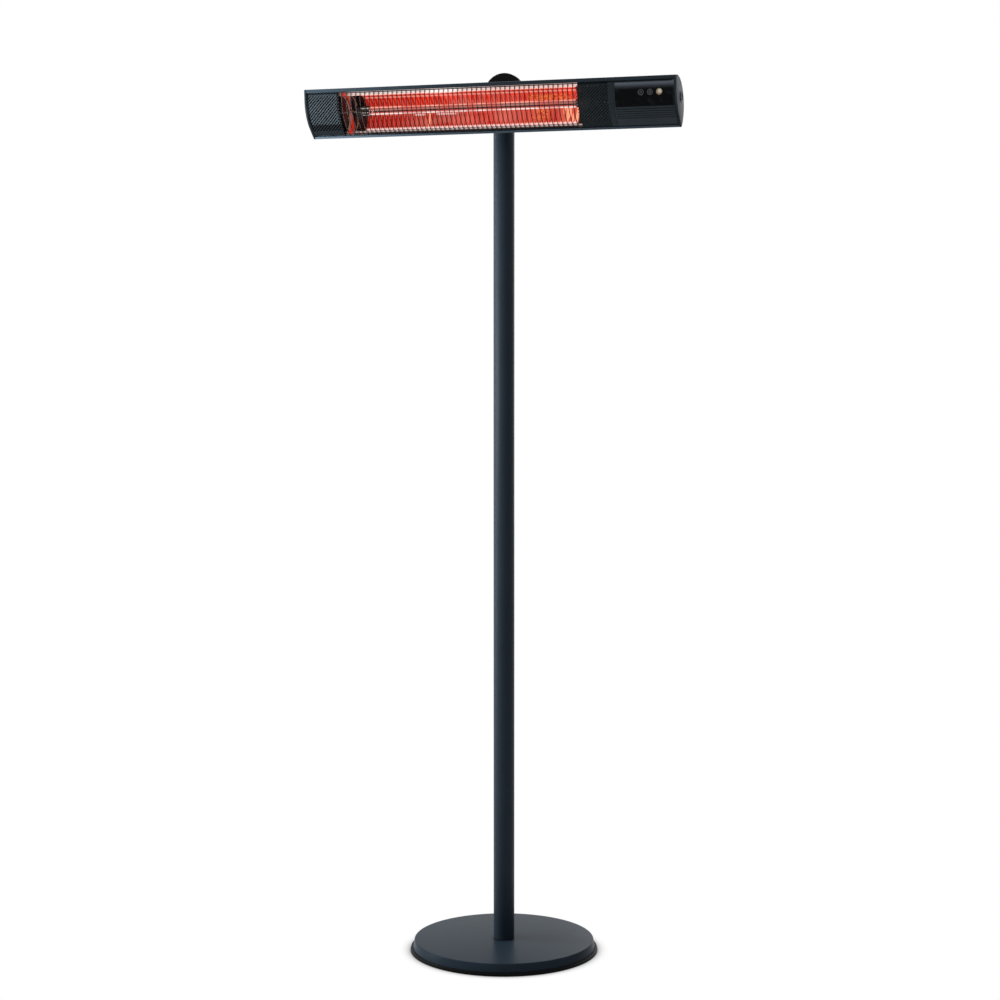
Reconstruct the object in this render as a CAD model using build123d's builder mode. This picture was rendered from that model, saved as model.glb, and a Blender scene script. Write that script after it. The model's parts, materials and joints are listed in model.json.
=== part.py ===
from build123d import *

import os
from math import asin, cos, pi, radians, sin, tan

# Free-standing infrared heater: a heavy round base, one straight pole, a round plate standing
# on the pole's top, a tilting bracket, and a long heater head that faces forwards and down.
# Frame: +Z up, origin on the floor under the pole's axis, the head's length along X,
# the head's front towards -Y. All sizes are in millimetres and angles in degrees.

# ---- overall -------------------------------------------------------------------------
TOP_HEIGHT = 2100.0          # floor to the top of the round plate cover
TILT_ANGLE = 28.0            # how far the head faces below the horizontal, as stored

# ---- fits shared by many pieces ------------------------------------------------------
SLIP = 0.1                   # radial clearance of a piece slid into another
SEAT_GAP = 0.2               # clearance of a piece that rests on a curved or painted seat
RUNNING = 0.05               # radial clearance of a turning or sliding fit
PANEL_GAP = 0.8              # gap between neighbouring front pieces

# ---- base ----------------------------------------------------------------------------
BASE_DIAMETER = 440.0        # foot of the cover's skirt
SKIRT_FLARE = 4.0            # skirt's foot outside its top
BASE_HEIGHT = 27.0
BASE_SHEET = 2.0
BASE_EDGE_RADIUS = 2.5
RING_PROUD = 5.0             # rubber ring outside the skirt
RING_WALL = 3.5              # rubber outside the bottom plate's edge
RING_REACH = 12.0            # radial width of the rubber ring
RING_PAD = 3.0               # rubber between the floor and the bottom plate
RING_LIP = 1.5               # rubber between the bottom plate and the skirt
RING_ROUND = 1.0
BOTTOM_PLATE_THICKNESS = 3.0
WEIGHT_CLEARANCE = 3.0       # from the skirt's top to the weight's rim
WEIGHT_CHAMFER = 3.0
WEIGHT_POCKET_DIAMETER = 40.0
WEIGHT_POCKET_DEPTH = 9.0
BASE_BOLT_DIAMETER = 12.0
BASE_BOLT_FLATS = 19.0
BASE_BOLT_HEAD = 7.5
BASE_BOLT_GRIP = 30.0        # thread inside the pole's foot plug
BASE_WASHER_DIAMETER = 34.0
BASE_WASHER_THICKNESS = 2.5
BASE_SCREW_COUNT = 6
BASE_SCREW_INSET = 30.0      # screw axis inside the skirt's foot
BASE_SCREW_DIAMETER = 5.0
BASE_SCREW_HEAD_DIAMETER = 10.0
BASE_SCREW_LENGTH = 14.0
BASE_SCREW_HEAD = 2.5

# ---- pole ----------------------------------------------------------------------------
POLE_DIAMETER = 50.0
POLE_WALL = 1.5
FOOT_PLUG_LENGTH = 36.0
TOP_PLUG_LENGTH = 64.0
TOP_PLUG_FLANGE = 3.0
PLUG_SCREW_DIAMETER = 6.0
PLUG_SCREW_HEAD_DIAMETER = 11.0
PLUG_SCREW_HEAD = 3.0
PLUG_SCREW_PITCH = 28.0
PLUG_SCREW_BITE = 8.0        # thread in front of the tongue

# ---- round plate on the pole's top ---------------------------------------------------
COVER_DIAMETER = 98.0
COVER_WALL = 2.0
COVER_DEPTH = 18.5           # front rim to the back face
COVER_ROUND = 4.0
COVER_BOSS_DIAMETER = 10.0
PLATE_THICKNESS = 5.0
TONGUE_WIDTH = 36.0
TONGUE_DEPTH = 56.0          # tongue inside the pole's top plug
COVER_SCREW_DIAMETER = 4.0
COVER_SCREW_HEAD_DIAMETER = 7.5
COVER_SCREW_HEAD = 1.6

# ---- bracket and hinge ---------------------------------------------------------------
BRACKET_WIDTH = 60.0
BRACKET_HEIGHT = 52.0
BRACKET_SHEET = 3.0
BRACKET_SCREW_SPACING_X = 34.0
BRACKET_SCREW_SPACING_Z = 34.0
BRACKET_SCREW_DIAMETER = 6.0
BRACKET_SCREW_FLATS = 10.0
BRACKET_SCREW_HEAD = 4.0
BRACKET_NUT_THICKNESS = 5.0
BRACKET_SCREW_TAIL = 1.5     # thread that shows past the nut
PIVOT_REACH = 52.0           # hinge axis in front of the pole's axis
PIVOT_DROP = 13.0            # hinge axis below the plate's centre
PIVOT_OFFSET = 18.0          # hinge axis behind the head's rear rail
EAR_RADIUS = 14.0
HINGE_BOLT_DIAMETER = 8.0
HINGE_BOLT_FLATS = 13.0
HINGE_BOLT_HEAD = 5.3
HINGE_NUT_THICKNESS = 8.0
HINGE_BOLT_TAIL = 2.0
HINGE_WASHER_DIAMETER = 16.0
HINGE_WASHER_THICKNESS = 1.6
FRICTION_WASHER_DIAMETER = 24.0
FRICTION_WASHER_THICKNESS = 1.0
SLEEVE_DIAMETER = 14.0
TILT_WEB_HEIGHT = 34.0
RAIL_BOLT_DIAMETER = 6.0
RAIL_BOLT_SPACING = 24.0
RAIL_BOLT_HEAD_SIZE = 14.0
RAIL_BOLT_HEAD = 3.5
RAIL_NUT_FLATS = 10.0
RAIL_NUT_THICKNESS = 4.5
RAIL_BOLT_TAIL = 1.5

# ---- heater head: section ------------------------------------------------------------
HEAD_LENGTH = 900.0
CHORD = 125.0                # top lip to bottom lip
FRONT_UPPER_ANGLE = 24.0     # upper front face against the chord
FRONT_LOWER_ANGLE = 21.0     # lower front face against the chord
FRONT_BEND_RADIUS = 90.0
BACK_DEPTH = 50.0            # chord to the rounded back
HOUSING_WALL = 2.0
CORNER_RADIUS = 1.5
LIP_HEIGHT = 7.0             # painted lip above and below the front pieces
FRONT_RECESS = 3.0           # dark channel between a lip and the front pieces
SEAT_DEPTH = 4.5             # skin to the ledge that carries the front pieces
LEDGE_THICKNESS = 1.8
LEDGE_HEIGHT = 10.0
RAIL_WIDTH = 30.0
RAIL_PROUD = 2.0             # rail beyond the rounded back
RAIL_HEIGHT = 10.0
SLOT_WIDTH = 8.0
SLOT_LIP = 3.0
SLOT_CAVITY_WIDTH = 15.0
SLOT_CAVITY_DEPTH = 4.5
PORT_DIAMETER = 8.0          # screw ports inside the extrusion
PORT_BORE = 3.4
OUTER_PORT_HEIGHT = 50.5
OUTER_PORT_DEPTH = 17.5
INNER_PORT_HEIGHT = 22.0
INNER_PORT_DEPTH = 40.5

# ---- heater head: ends ---------------------------------------------------------------
CAP_THICKNESS = 4.0
CAP_ROUND = 1.2
CAP_RIM_DEPTH = 8.0
CAP_RIM_WALL = 2.0
CAP_RIM_START = 10.0         # the rim only follows the rounded back
GASKET_THICKNESS = 1.0
CAP_SCREW_DIAMETER = 3.0
CAP_SCREW_HEAD_DIAMETER = 6.0
CAP_SCREW_HEAD = 1.6
CAP_SCREW_LENGTH = 16.0

# ---- heater head: front pieces -------------------------------------------------------
LEFT_PANEL_WIDTH = 78.0
RIGHT_PANEL_WIDTH = 70.0
DIVIDER_WIDTH = 12.0
DIVIDER_SHEET = 1.5
CONTROL_WIDTH = 140.0
MESH_SHEET = 1.0
MESH_INSET = 0.4             # mesh below the skin
MESH_BORDER = 4.0
MESH_HOLE = 4.4
MESH_PITCH = 6.8
MESH_LOWER_BAND = 14.0       # plain band under the perforation
RIM_WIDTH = 2.0              # raised edge of a mesh panel beside the window
GUARD_WIRE = 2.0
GUARD_PITCH = 11.5
GUARD_RAIL = 2.4
GUARD_WELD = 0.3             # how far the wires sink into each other
GUARD_RAIL_HEIGHT = 52.0
GUARD_MIDDLE_HEIGHT = 8.0
GUARD_OVERHANG = 2.0         # wire ends past the outer rails

# ---- lamp bay ------------------------------------------------------------------------
LAMP_DEPTH = 12.0            # lamp axis behind the chord
LAMP_DIAMETER = 20.0
LAMP_GLASS = 1.5
LAMP_INSET_LEFT = 60.0       # lamp glass start from the window's left edge
LAMP_OVERRUN_RIGHT = 12.0    # lamp glass past the window's right edge
CERAMIC_WALL = 1.5            # ceramic around the glass
CERAMIC_LENGTH = 30.0
CERAMIC_GRIP = 8.0           # ceramic over the glass
FILAMENT_DIAMETER = 6.0
REFLECTOR_SHEET = 0.8
REFLECTOR_FLANGE_HEIGHT = 52.0
REFLECTOR_DEPTH = 34.0
REFLECTOR_END_GAP = 14.0     # ceramic to the end plates
END_PLATE_FRONT = 3.0
LEAD_HOLE = 7.0
HOLDER_WALL = 3.0            # holder around the ceramic
HOLDER_THICKNESS = 10.0
LEAD_DIAMETER = 3.0
LEAD_BEND = 8.0
LEAD_RISE = 10.0             # lead past the end plate before it turns back
LEAD_BACK_GAP = 2.0          # lead behind the reflector
PARTITION_SHEET = 1.2
PARTITION_INSET = 8.3

# ---- control bay ---------------------------------------------------------------------
GLASS_THICKNESS = 1.9
GLASS_INSET = 0.4
GLASS_MARGIN = 3.0
GLASS_TOP = 51.0
GLASS_BOTTOM = -2.0
RIB_COUNT = 5
RIB_PITCH = 6.0
RIB_GROOVE = 2.2
RIB_GROOVE_DEPTH = 1.2
RIB_START = 6.0              # first groove below the glass
KEY_HEIGHT = 30.0
KEY_START = 64.0             # first key from the cover's left edge
KEY_PITCH = 21.2
KEY_DIAMETER = 14.0
KEY_CLEARANCE = 0.3
KEY_TRAVEL = 0.5
KEY_PROUD = 0.2
KEY_FLANGE = 1.0
KEY_FLANGE_DIAMETER = 17.0
KEY_STEM = 5.0
LENS_DOME = 0.6
BOARD_DEPTH = 15.0
BOARD_THICKNESS = 1.6
BOARD_WIDTH = 118.0
BOARD_TOP = 15.0
BOARD_BOTTOM = -24.0
BOARD_HOLE = 3.2
STANDOFF_DIAMETER = 6.0
STANDOFF_INSET = 5.0
BOARD_SCREW_DIAMETER = 2.8
BOARD_SCREW_HEAD_DIAMETER = 5.5
BOARD_SCREW_HEAD = 1.8
BOARD_SCREW_LENGTH = 7.0
TACT_SIZE = 6.0
TACT_HEIGHT = 4.0
RELAY_LENGTH = 28.0
RELAY_WIDTH = 12.5
RELAY_HEIGHT = 15.0
RELAY_SHIFT = 20.0           # relay to the left of the board's middle
RECEIVER_SIZE = 8.0
TERMINAL_LENGTH = 30.0
TERMINAL_WIDTH = 24.0
TERMINAL_FRONT = 8.0
TERMINAL_GAP = 12.0          # partition to terminal block
CONTROL_LEAD = 1.6
CONTROL_LEAD_PITCH = 3.0
CONTROL_LEAD_COUNT = 3
CONTROL_LEAD_ROW = -15.0     # middle lead below the key row
CONTROL_LEAD_INSET = 6.0     # leads from the terminal block's right end

# ---- mains switch and cable entry ----------------------------------------------------
SWITCH_DEPTH = 27.0          # switch axis behind the chord
SWITCH_DIAMETER = 20.0
SWITCH_LENGTH = 24.0
SWITCH_PROUD = 0.6
MAINS_LEAD = 2.0
MAINS_LEAD_SPACING = 8.0
BEZEL_DIAMETER = 25.0
BEZEL_PROUD = 2.0
BEZEL_ROUND = 0.6
ROCKER_WIDTH = 10.0
ROCKER_LENGTH = 13.6
ROCKER_THICKNESS = 7.0
ROCKER_TILT = 9.0
ROCKER_DIP = 1.0             # hollow in the middle of the rocker's face
ROCKER_SWING = 0.7           # room at each end of the rocker's pocket
ROCKER_ROOM = 5.2            # pocket behind the rocker's axis
ROCKER_SIDE = 0.2
ROCKER_PIN = 3.0
ROCKER_PIN_LENGTH = 13.0
ROCKER_AXIS_DEPTH = 5.0      # rocker axis below the bezel's front
GLAND_HEIGHT = -38.0
GLAND_FROM_RIGHT = 60.0
GLAND_THREAD = 12.0
GLAND_BORE = 8.0
GLAND_FLATS = 16.0
GLAND_HEX = 5.0
GLAND_DOME = 14.0
GLAND_DOME_LENGTH = 11.0
GLAND_DOME_ROUND = 2.0
GLAND_NUT = 3.5
GLAND_INNER_LENGTH = 8.0

# ---- places worked out from the sizes ------------------------------------------------
POLE_RADIUS = POLE_DIAMETER / 2
POLE_BORE_RADIUS = POLE_RADIUS - POLE_WALL
COVER_RADIUS = COVER_DIAMETER / 2
PLATE_Z = TOP_HEIGHT - COVER_RADIUS
PLUG_TOP = PLATE_Z - COVER_RADIUS
POLE_TOP = PLUG_TOP - TOP_PLUG_FLANGE
PLATE_FRONT = -PLATE_THICKNESS / 2
PLATE_BACK = PLATE_THICKNESS / 2
BRACKET_FRONT = PLATE_FRONT - BRACKET_SHEET
PIVOT_Y = -PIVOT_REACH
PIVOT_Z = PLATE_Z - PIVOT_DROP

TILT = radians(TILT_ANGLE)
HALF_CHORD = CHORD / 2
RAIL_BACK = BACK_DEPTH + RAIL_PROUD
RAIL_FLOOR = RAIL_BACK - RAIL_HEIGHT
PIVOT_DEPTH = RAIL_BACK + PIVOT_OFFSET
HEAD_X = -BEZEL_PROUD / 2    # the switch bezel stands proud of the right cap only
HEAD_Y = PIVOT_Y - PIVOT_DEPTH * cos(TILT)
HEAD_Z = PIVOT_Z - PIVOT_DEPTH * sin(TILT)
HEAD_LEFT = HEAD_X - HEAD_LENGTH / 2
HEAD_RIGHT = HEAD_X + HEAD_LENGTH / 2
HOUSING_LEFT = HEAD_LEFT + CAP_THICKNESS + GASKET_THICKNESS
HOUSING_RIGHT = HEAD_RIGHT - CAP_THICKNESS - GASKET_THICKNESS
HOUSING_LENGTH = HOUSING_RIGHT - HOUSING_LEFT

OPENING_HALF = HALF_CHORD - LIP_HEIGHT
FRONT_HALF = OPENING_HALF - FRONT_RECESS
LEDGE_EDGE = OPENING_HALF - LEDGE_HEIGHT
LEDGE_BACK = SEAT_DEPTH + LEDGE_THICKNESS

LEFT_PANEL_START = HOUSING_LEFT + PANEL_GAP
WINDOW_LEFT = LEFT_PANEL_START + LEFT_PANEL_WIDTH + PANEL_GAP
CONTROL_RIGHT = HOUSING_RIGHT - PANEL_GAP
CONTROL_LEFT = CONTROL_RIGHT - CONTROL_WIDTH
DIVIDER_LEFT = CONTROL_LEFT - PANEL_GAP - DIVIDER_WIDTH
RIGHT_PANEL_START = DIVIDER_LEFT - PANEL_GAP - RIGHT_PANEL_WIDTH
WINDOW_RIGHT = RIGHT_PANEL_START - PANEL_GAP

GLASS_LEFT = WINDOW_LEFT + LAMP_INSET_LEFT
GLASS_RIGHT = WINDOW_RIGHT + LAMP_OVERRUN_RIGHT
CERAMIC_LEFT = GLASS_LEFT + CERAMIC_GRIP - CERAMIC_LENGTH
CERAMIC_RIGHT = GLASS_RIGHT - CERAMIC_GRIP + CERAMIC_LENGTH
REFLECTOR_LEFT = CERAMIC_LEFT - REFLECTOR_END_GAP
REFLECTOR_RIGHT = CERAMIC_RIGHT + REFLECTOR_END_GAP
PARTITION_X = DIVIDER_LEFT

# The front skin is two straight faces joined by one bend. Heights run along the chord.
UPPER = radians(FRONT_UPPER_ANGLE)
LOWER = radians(FRONT_LOWER_ANGLE)


def front_vertex(inset):
    """Where the two straight front faces would meet, `inset` behind the skin."""
    upper_shift = inset / cos(UPPER)
    lower_shift = inset / cos(LOWER)
    rise = HALF_CHORD * (tan(UPPER) - tan(LOWER)) + lower_shift - upper_shift
    height = rise / (tan(UPPER) + tan(LOWER))
    return (upper_shift - tan(UPPER) * (HALF_CHORD - height), height)


BEND_TANGENT = FRONT_BEND_RADIUS * tan((UPPER + LOWER) / 2)
BEND_DEPTH = front_vertex(0)[0] + BEND_TANGENT * sin(UPPER) + FRONT_BEND_RADIUS * cos(UPPER)
BEND_HEIGHT = front_vertex(0)[1] + BEND_TANGENT * cos(UPPER) - FRONT_BEND_RADIUS * sin(UPPER)
BACK_RADIUS = (HALF_CHORD**2 + BACK_DEPTH**2) / (2 * BACK_DEPTH)
BACK_CENTRE = BACK_DEPTH - BACK_RADIUS


# ---- planes --------------------------------------------------------------------------
def head_section(x):
    """Plane across the head: local x runs backwards from the chord, local y up along it."""
    return Plane(origin=(x, HEAD_Y, HEAD_Z), x_dir=(0, cos(TILT), sin(TILT)), z_dir=(1, 0, 0))


def head_front(depth, x=0.0):
    """Plane parallel to the chord, `depth` behind it, facing forwards: local y is up."""
    origin = (x, HEAD_Y + depth * cos(TILT), HEAD_Z + depth * sin(TILT))
    return Plane(origin=origin, x_dir=(1, 0, 0), z_dir=(0, -cos(TILT), -sin(TILT)))


def skin_plane(height, angle, depth, x=0.0):
    """Plane at a section point, facing `angle` above the head's forward direction."""
    y = HEAD_Y + depth * cos(TILT) - height * sin(TILT)
    z = HEAD_Z + depth * sin(TILT) + height * cos(TILT)
    return Plane(origin=(x, y, z), x_dir=(1, 0, 0), z_dir=(0, -cos(TILT - angle), -sin(TILT - angle)))


def pole_side(x):
    """Plane across the pole's top: local x is world Y, local y is world Z."""
    return Plane(origin=(x, 0, 0), x_dir=(0, 1, 0), z_dir=(1, 0, 0))


def back_wall(y):
    """Upright plane facing backwards at world y, local y up, centred on the round plate."""
    return Plane(origin=(0, y, PLATE_Z), x_dir=(-1, 0, 0), z_dir=(0, 1, 0))


# ---- section shapes of the head ------------------------------------------------------
def head_face(inset):
    """The head's closed section, `inset` inside its outer skin."""
    with BuildSketch() as outline:
        with BuildLine():
            FilletPolyline((0, HALF_CHORD), front_vertex(0), (0, -HALF_CHORD), radius=FRONT_BEND_RADIUS)
            ThreePointArc((0, -HALF_CHORD), (BACK_DEPTH, 0), (0, HALF_CHORD))
        make_face()
        fillet(outline.vertices().group_by(Axis.Y)[0], radius=CORNER_RADIUS)
        fillet(outline.vertices().group_by(Axis.Y)[-1], radius=CORNER_RADIUS)
        if inset > 0:
            offset(amount=-inset, kind=Kind.INTERSECTION, mode=Mode.REPLACE)
    return outline.sketch


def front_band(outer, inner, low, high):
    """Strip of the front between two insets from the skin and between two heights."""
    top = HALF_CHORD
    with BuildSketch() as strip:
        with BuildLine():
            for inset in (outer, inner):
                start = (inset / cos(UPPER), top)
                end = (inset / cos(LOWER), -top)
                FilletPolyline(start, front_vertex(inset), end, radius=FRONT_BEND_RADIUS - inset)
            Line((outer / cos(UPPER), top), (inner / cos(UPPER), top))
            Line((outer / cos(LOWER), -top), (inner / cos(LOWER), -top))
        make_face()
        with Locations((0, (low + high) / 2)):
            Rectangle(CHORD, high - low, mode=Mode.INTERSECT)
    return strip.sketch


def front_depth(height, inset):
    """Depth of the upper straight front face behind the chord at a height."""
    return inset / cos(UPPER) - tan(UPPER) * (HALF_CHORD - height)


def lower_depth(height, inset):
    """Depth of the lower straight front face behind the chord at a height."""
    return inset / cos(LOWER) - tan(LOWER) * (HALF_CHORD + height)


def bend_depth(height, inset):
    """Depth of the bent middle of the front behind the chord at a height."""
    radius = FRONT_BEND_RADIUS - inset
    return BEND_DEPTH - radius * cos(asin((height - BEND_HEIGHT) / radius))


os.makedirs("parts", exist_ok=True)


def save(piece, label):
    """Label one finished piece and write it under the same name."""
    piece.part.label = label
    export_step(piece.part, f"parts/{label}.step")


# ======================================================================================
# Base
# ======================================================================================
PLATE_UNDERSIDE = RING_PAD
PLATE_TOP = PLATE_UNDERSIDE + BOTTOM_PLATE_THICKNESS
SKIRT_FOOT = PLATE_TOP + RING_LIP
COVER_UNDERSIDE = BASE_HEIGHT - BASE_SHEET
BOLT_HOLE_RADIUS = BASE_BOLT_DIAMETER / 2 + SLIP
SKIRT_FOOT_RADIUS = BASE_DIAMETER / 2
SKIRT_TOP_RADIUS = SKIRT_FOOT_RADIUS - SKIRT_FLARE
BASE_SCREW_CIRCLE = SKIRT_FOOT_RADIUS - BASE_SCREW_INSET
RING_OUTER = SKIRT_FOOT_RADIUS + RING_PROUD
RING_INNER = RING_OUTER - RING_REACH
PLATE_EDGE = RING_OUTER - RING_WALL

with BuildPart() as base_rim_ring:
    with BuildSketch(Plane.XZ) as ring_section:
        with BuildLine():
            Polyline(
                (RING_INNER, 0),
                (RING_OUTER, 0),
                (RING_OUTER, SKIRT_FOOT),
                (RING_INNER, SKIRT_FOOT),
                (RING_INNER, PLATE_TOP),
                (PLATE_EDGE + SLIP, PLATE_TOP),
                (PLATE_EDGE + SLIP, PLATE_UNDERSIDE),
                (RING_INNER, PLATE_UNDERSIDE),
                close=True,
            )
        make_face()
        fillet(ring_section.vertices().group_by(Axis.X)[-1], radius=RING_ROUND)
    revolve(axis=Axis.Z)
save(base_rim_ring, "base_rim_ring")

with BuildPart() as base_bottom_plate:
    with BuildSketch(Plane.XY.offset(PLATE_UNDERSIDE)):
        Circle(PLATE_EDGE)
        Circle(WEIGHT_POCKET_DIAMETER / 2, mode=Mode.SUBTRACT)
    extrude(amount=BOTTOM_PLATE_THICKNESS)
    with BuildSketch(Plane.XY.offset(PLATE_UNDERSIDE)):
        with PolarLocations(BASE_SCREW_CIRCLE, BASE_SCREW_COUNT):
            Circle(BASE_SCREW_HEAD_DIAMETER / 2 + SLIP)
    extrude(amount=BASE_SCREW_HEAD, mode=Mode.SUBTRACT)
    with BuildSketch(Plane.XY.offset(PLATE_UNDERSIDE)):
        with PolarLocations(BASE_SCREW_CIRCLE, BASE_SCREW_COUNT):
            Circle(BASE_SCREW_DIAMETER / 2 + SLIP)
    extrude(amount=BOTTOM_PLATE_THICKNESS, mode=Mode.SUBTRACT)
save(base_bottom_plate, "base_bottom_plate")

with BuildPart() as base_weight:
    with BuildSketch(Plane.XY.offset(PLATE_TOP)):
        Circle(SKIRT_TOP_RADIUS - BASE_SHEET - WEIGHT_CLEARANCE)
    extrude(amount=COVER_UNDERSIDE - PLATE_TOP)
    chamfer(base_weight.edges().group_by(Axis.Z)[-1], length=WEIGHT_CHAMFER)
    with BuildSketch(Plane.XY.offset(PLATE_TOP)):
        Circle(BOLT_HOLE_RADIUS)
    extrude(amount=COVER_UNDERSIDE - PLATE_TOP, mode=Mode.SUBTRACT)
    with BuildSketch(Plane.XY.offset(PLATE_TOP)):
        Circle(WEIGHT_POCKET_DIAMETER / 2)
    extrude(amount=WEIGHT_POCKET_DEPTH, mode=Mode.SUBTRACT)
    with BuildSketch(Plane.XY.offset(PLATE_TOP)):
        with PolarLocations(BASE_SCREW_CIRCLE, BASE_SCREW_COUNT):
            Circle(BASE_SCREW_DIAMETER / 2 + SLIP)
    extrude(amount=BASE_SCREW_LENGTH, mode=Mode.SUBTRACT)
save(base_weight, "base_weight")

with BuildPart() as base_cover:
    with BuildSketch(Plane.XZ) as cover_section:
        with BuildLine():
            Polyline(
                (BOLT_HOLE_RADIUS, BASE_HEIGHT),
                (SKIRT_TOP_RADIUS, BASE_HEIGHT),
                (SKIRT_FOOT_RADIUS, SKIRT_FOOT),
                (SKIRT_FOOT_RADIUS - BASE_SHEET, SKIRT_FOOT),
                (SKIRT_TOP_RADIUS - BASE_SHEET, COVER_UNDERSIDE),
                (BOLT_HOLE_RADIUS, COVER_UNDERSIDE),
                close=True,
            )
        make_face()
        fillet(cover_section.vertices().group_by(Axis.Y)[-1].sort_by(Axis.X)[-1:], radius=BASE_EDGE_RADIUS)
    revolve(axis=Axis.Z)
save(base_cover, "base_cover")

with BuildPart() as base_screws:
    with BuildSketch(Plane.XY.offset(PLATE_UNDERSIDE)):
        with PolarLocations(BASE_SCREW_CIRCLE, BASE_SCREW_COUNT):
            Circle(BASE_SCREW_HEAD_DIAMETER / 2)
    extrude(amount=BASE_SCREW_HEAD)
    with BuildSketch(Plane.XY.offset(PLATE_UNDERSIDE)):
        with PolarLocations(BASE_SCREW_CIRCLE, BASE_SCREW_COUNT):
            Circle(BASE_SCREW_DIAMETER / 2)
    extrude(amount=BASE_SCREW_LENGTH)
save(base_screws, "base_screws")

WASHER_TOP = PLATE_TOP + WEIGHT_POCKET_DEPTH
BOLT_HEAD_TOP = WASHER_TOP - BASE_WASHER_THICKNESS

with BuildPart() as base_washer:
    with BuildSketch(Plane.XY.offset(BOLT_HEAD_TOP)):
        Circle(BASE_WASHER_DIAMETER / 2)
        Circle(BOLT_HOLE_RADIUS, mode=Mode.SUBTRACT)
    extrude(amount=BASE_WASHER_THICKNESS)
save(base_washer, "base_washer")

with BuildPart() as base_bolt:
    with BuildSketch(Plane.XY.offset(BOLT_HEAD_TOP)):
        RegularPolygon(BASE_BOLT_FLATS / 2, 6, major_radius=False)
    extrude(amount=-BASE_BOLT_HEAD)
    with BuildSketch(Plane.XY.offset(BOLT_HEAD_TOP)):
        Circle(BASE_BOLT_DIAMETER / 2)
    extrude(amount=BASE_HEIGHT + BASE_BOLT_GRIP - BOLT_HEAD_TOP)
save(base_bolt, "base_bolt")

# ======================================================================================
# Pole
# ======================================================================================
TONGUE_FOOT = POLE_TOP - TONGUE_DEPTH
PLUG_SCREW_Z = POLE_TOP - TOP_PLUG_LENGTH / 2

with BuildPart() as pole_foot_plug:
    with BuildSketch(Plane.XY.offset(BASE_HEIGHT)):
        Circle(POLE_BORE_RADIUS - SLIP)
        Circle(BOLT_HOLE_RADIUS, mode=Mode.SUBTRACT)
    extrude(amount=FOOT_PLUG_LENGTH)
save(pole_foot_plug, "pole_foot_plug")

with BuildPart() as pole_tube:
    with BuildSketch(Plane.XY.offset(BASE_HEIGHT)):
        Circle(POLE_RADIUS)
        Circle(POLE_BORE_RADIUS, mode=Mode.SUBTRACT)
    extrude(amount=POLE_TOP - BASE_HEIGHT)
    with BuildSketch(Plane.XZ):
        with Locations((0, PLUG_SCREW_Z)):
            with GridLocations(0, PLUG_SCREW_PITCH, 1, 2):
                Circle(PLUG_SCREW_DIAMETER / 2 + SLIP)
    extrude(amount=-POLE_DIAMETER, mode=Mode.SUBTRACT)
save(pole_tube, "pole_tube")

with BuildPart() as pole_top_plug:
    with BuildSketch(Plane.XY.offset(POLE_TOP)):
        Circle(POLE_RADIUS)
    extrude(amount=TOP_PLUG_FLANGE)
    with BuildSketch(Plane.XY.offset(POLE_TOP)):
        Circle(POLE_BORE_RADIUS - SLIP)
    extrude(amount=-TOP_PLUG_LENGTH)
    with BuildSketch(Plane.XY.offset(PLUG_TOP)):
        Rectangle(TONGUE_WIDTH + 2 * SLIP, PLATE_THICKNESS + 2 * SLIP)
    extrude(amount=TONGUE_FOOT - SLIP - PLUG_TOP, mode=Mode.SUBTRACT)
    with BuildSketch(Plane.XZ.offset(PLUG_SCREW_BITE + SLIP - PLATE_FRONT)):
        with Locations((0, PLUG_SCREW_Z)):
            with GridLocations(0, PLUG_SCREW_PITCH, 1, 2):
                Circle(PLUG_SCREW_DIAMETER / 2 + SLIP)
    extrude(amount=-POLE_DIAMETER, mode=Mode.SUBTRACT)
save(pole_top_plug, "pole_top_plug")

with BuildPart() as plug_screws:
    with BuildSketch(Plane.XZ.offset(PLUG_SCREW_BITE - PLATE_FRONT)):
        with Locations((0, PLUG_SCREW_Z)):
            with GridLocations(0, PLUG_SCREW_PITCH, 1, 2):
                Circle(PLUG_SCREW_DIAMETER / 2)
    extrude(amount=PLATE_FRONT - PLUG_SCREW_BITE - POLE_RADIUS - SLIP)
    with BuildSketch(Plane.XZ.offset(-POLE_RADIUS - SLIP)):
        with Locations((0, PLUG_SCREW_Z)):
            with GridLocations(0, PLUG_SCREW_PITCH, 1, 2):
                Circle(PLUG_SCREW_HEAD_DIAMETER / 2)
    extrude(amount=-PLUG_SCREW_HEAD)
save(plug_screws, "plug_screws")

# ======================================================================================
# Round plate on the pole's top and its cover
# ======================================================================================
PLATE_RADIUS = COVER_RADIUS - COVER_WALL - SLIP
COVER_BACK = PLATE_FRONT + COVER_DEPTH
BRACKET_HOLE = BRACKET_SCREW_DIAMETER / 2 + SLIP

with BuildPart() as mount_plate:
    with BuildSketch(Plane.XZ.offset(-PLATE_BACK)):
        with Locations((0, PLATE_Z)):
            Circle(PLATE_RADIUS)
        with Locations((0, (PLATE_Z + TONGUE_FOOT) / 2)):
            Rectangle(TONGUE_WIDTH, PLATE_Z - TONGUE_FOOT)
        with Locations((0, PLATE_Z)):
            with GridLocations(BRACKET_SCREW_SPACING_X, BRACKET_SCREW_SPACING_Z, 2, 2):
                Circle(BRACKET_HOLE, mode=Mode.SUBTRACT)
            Circle(COVER_SCREW_DIAMETER / 2 + SLIP, mode=Mode.SUBTRACT)
        with Locations((0, PLUG_SCREW_Z)):
            with GridLocations(0, PLUG_SCREW_PITCH, 1, 2):
                Circle(PLUG_SCREW_DIAMETER / 2 + SLIP, mode=Mode.SUBTRACT)
    extrude(amount=PLATE_THICKNESS)
save(mount_plate, "mount_plate")

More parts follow.
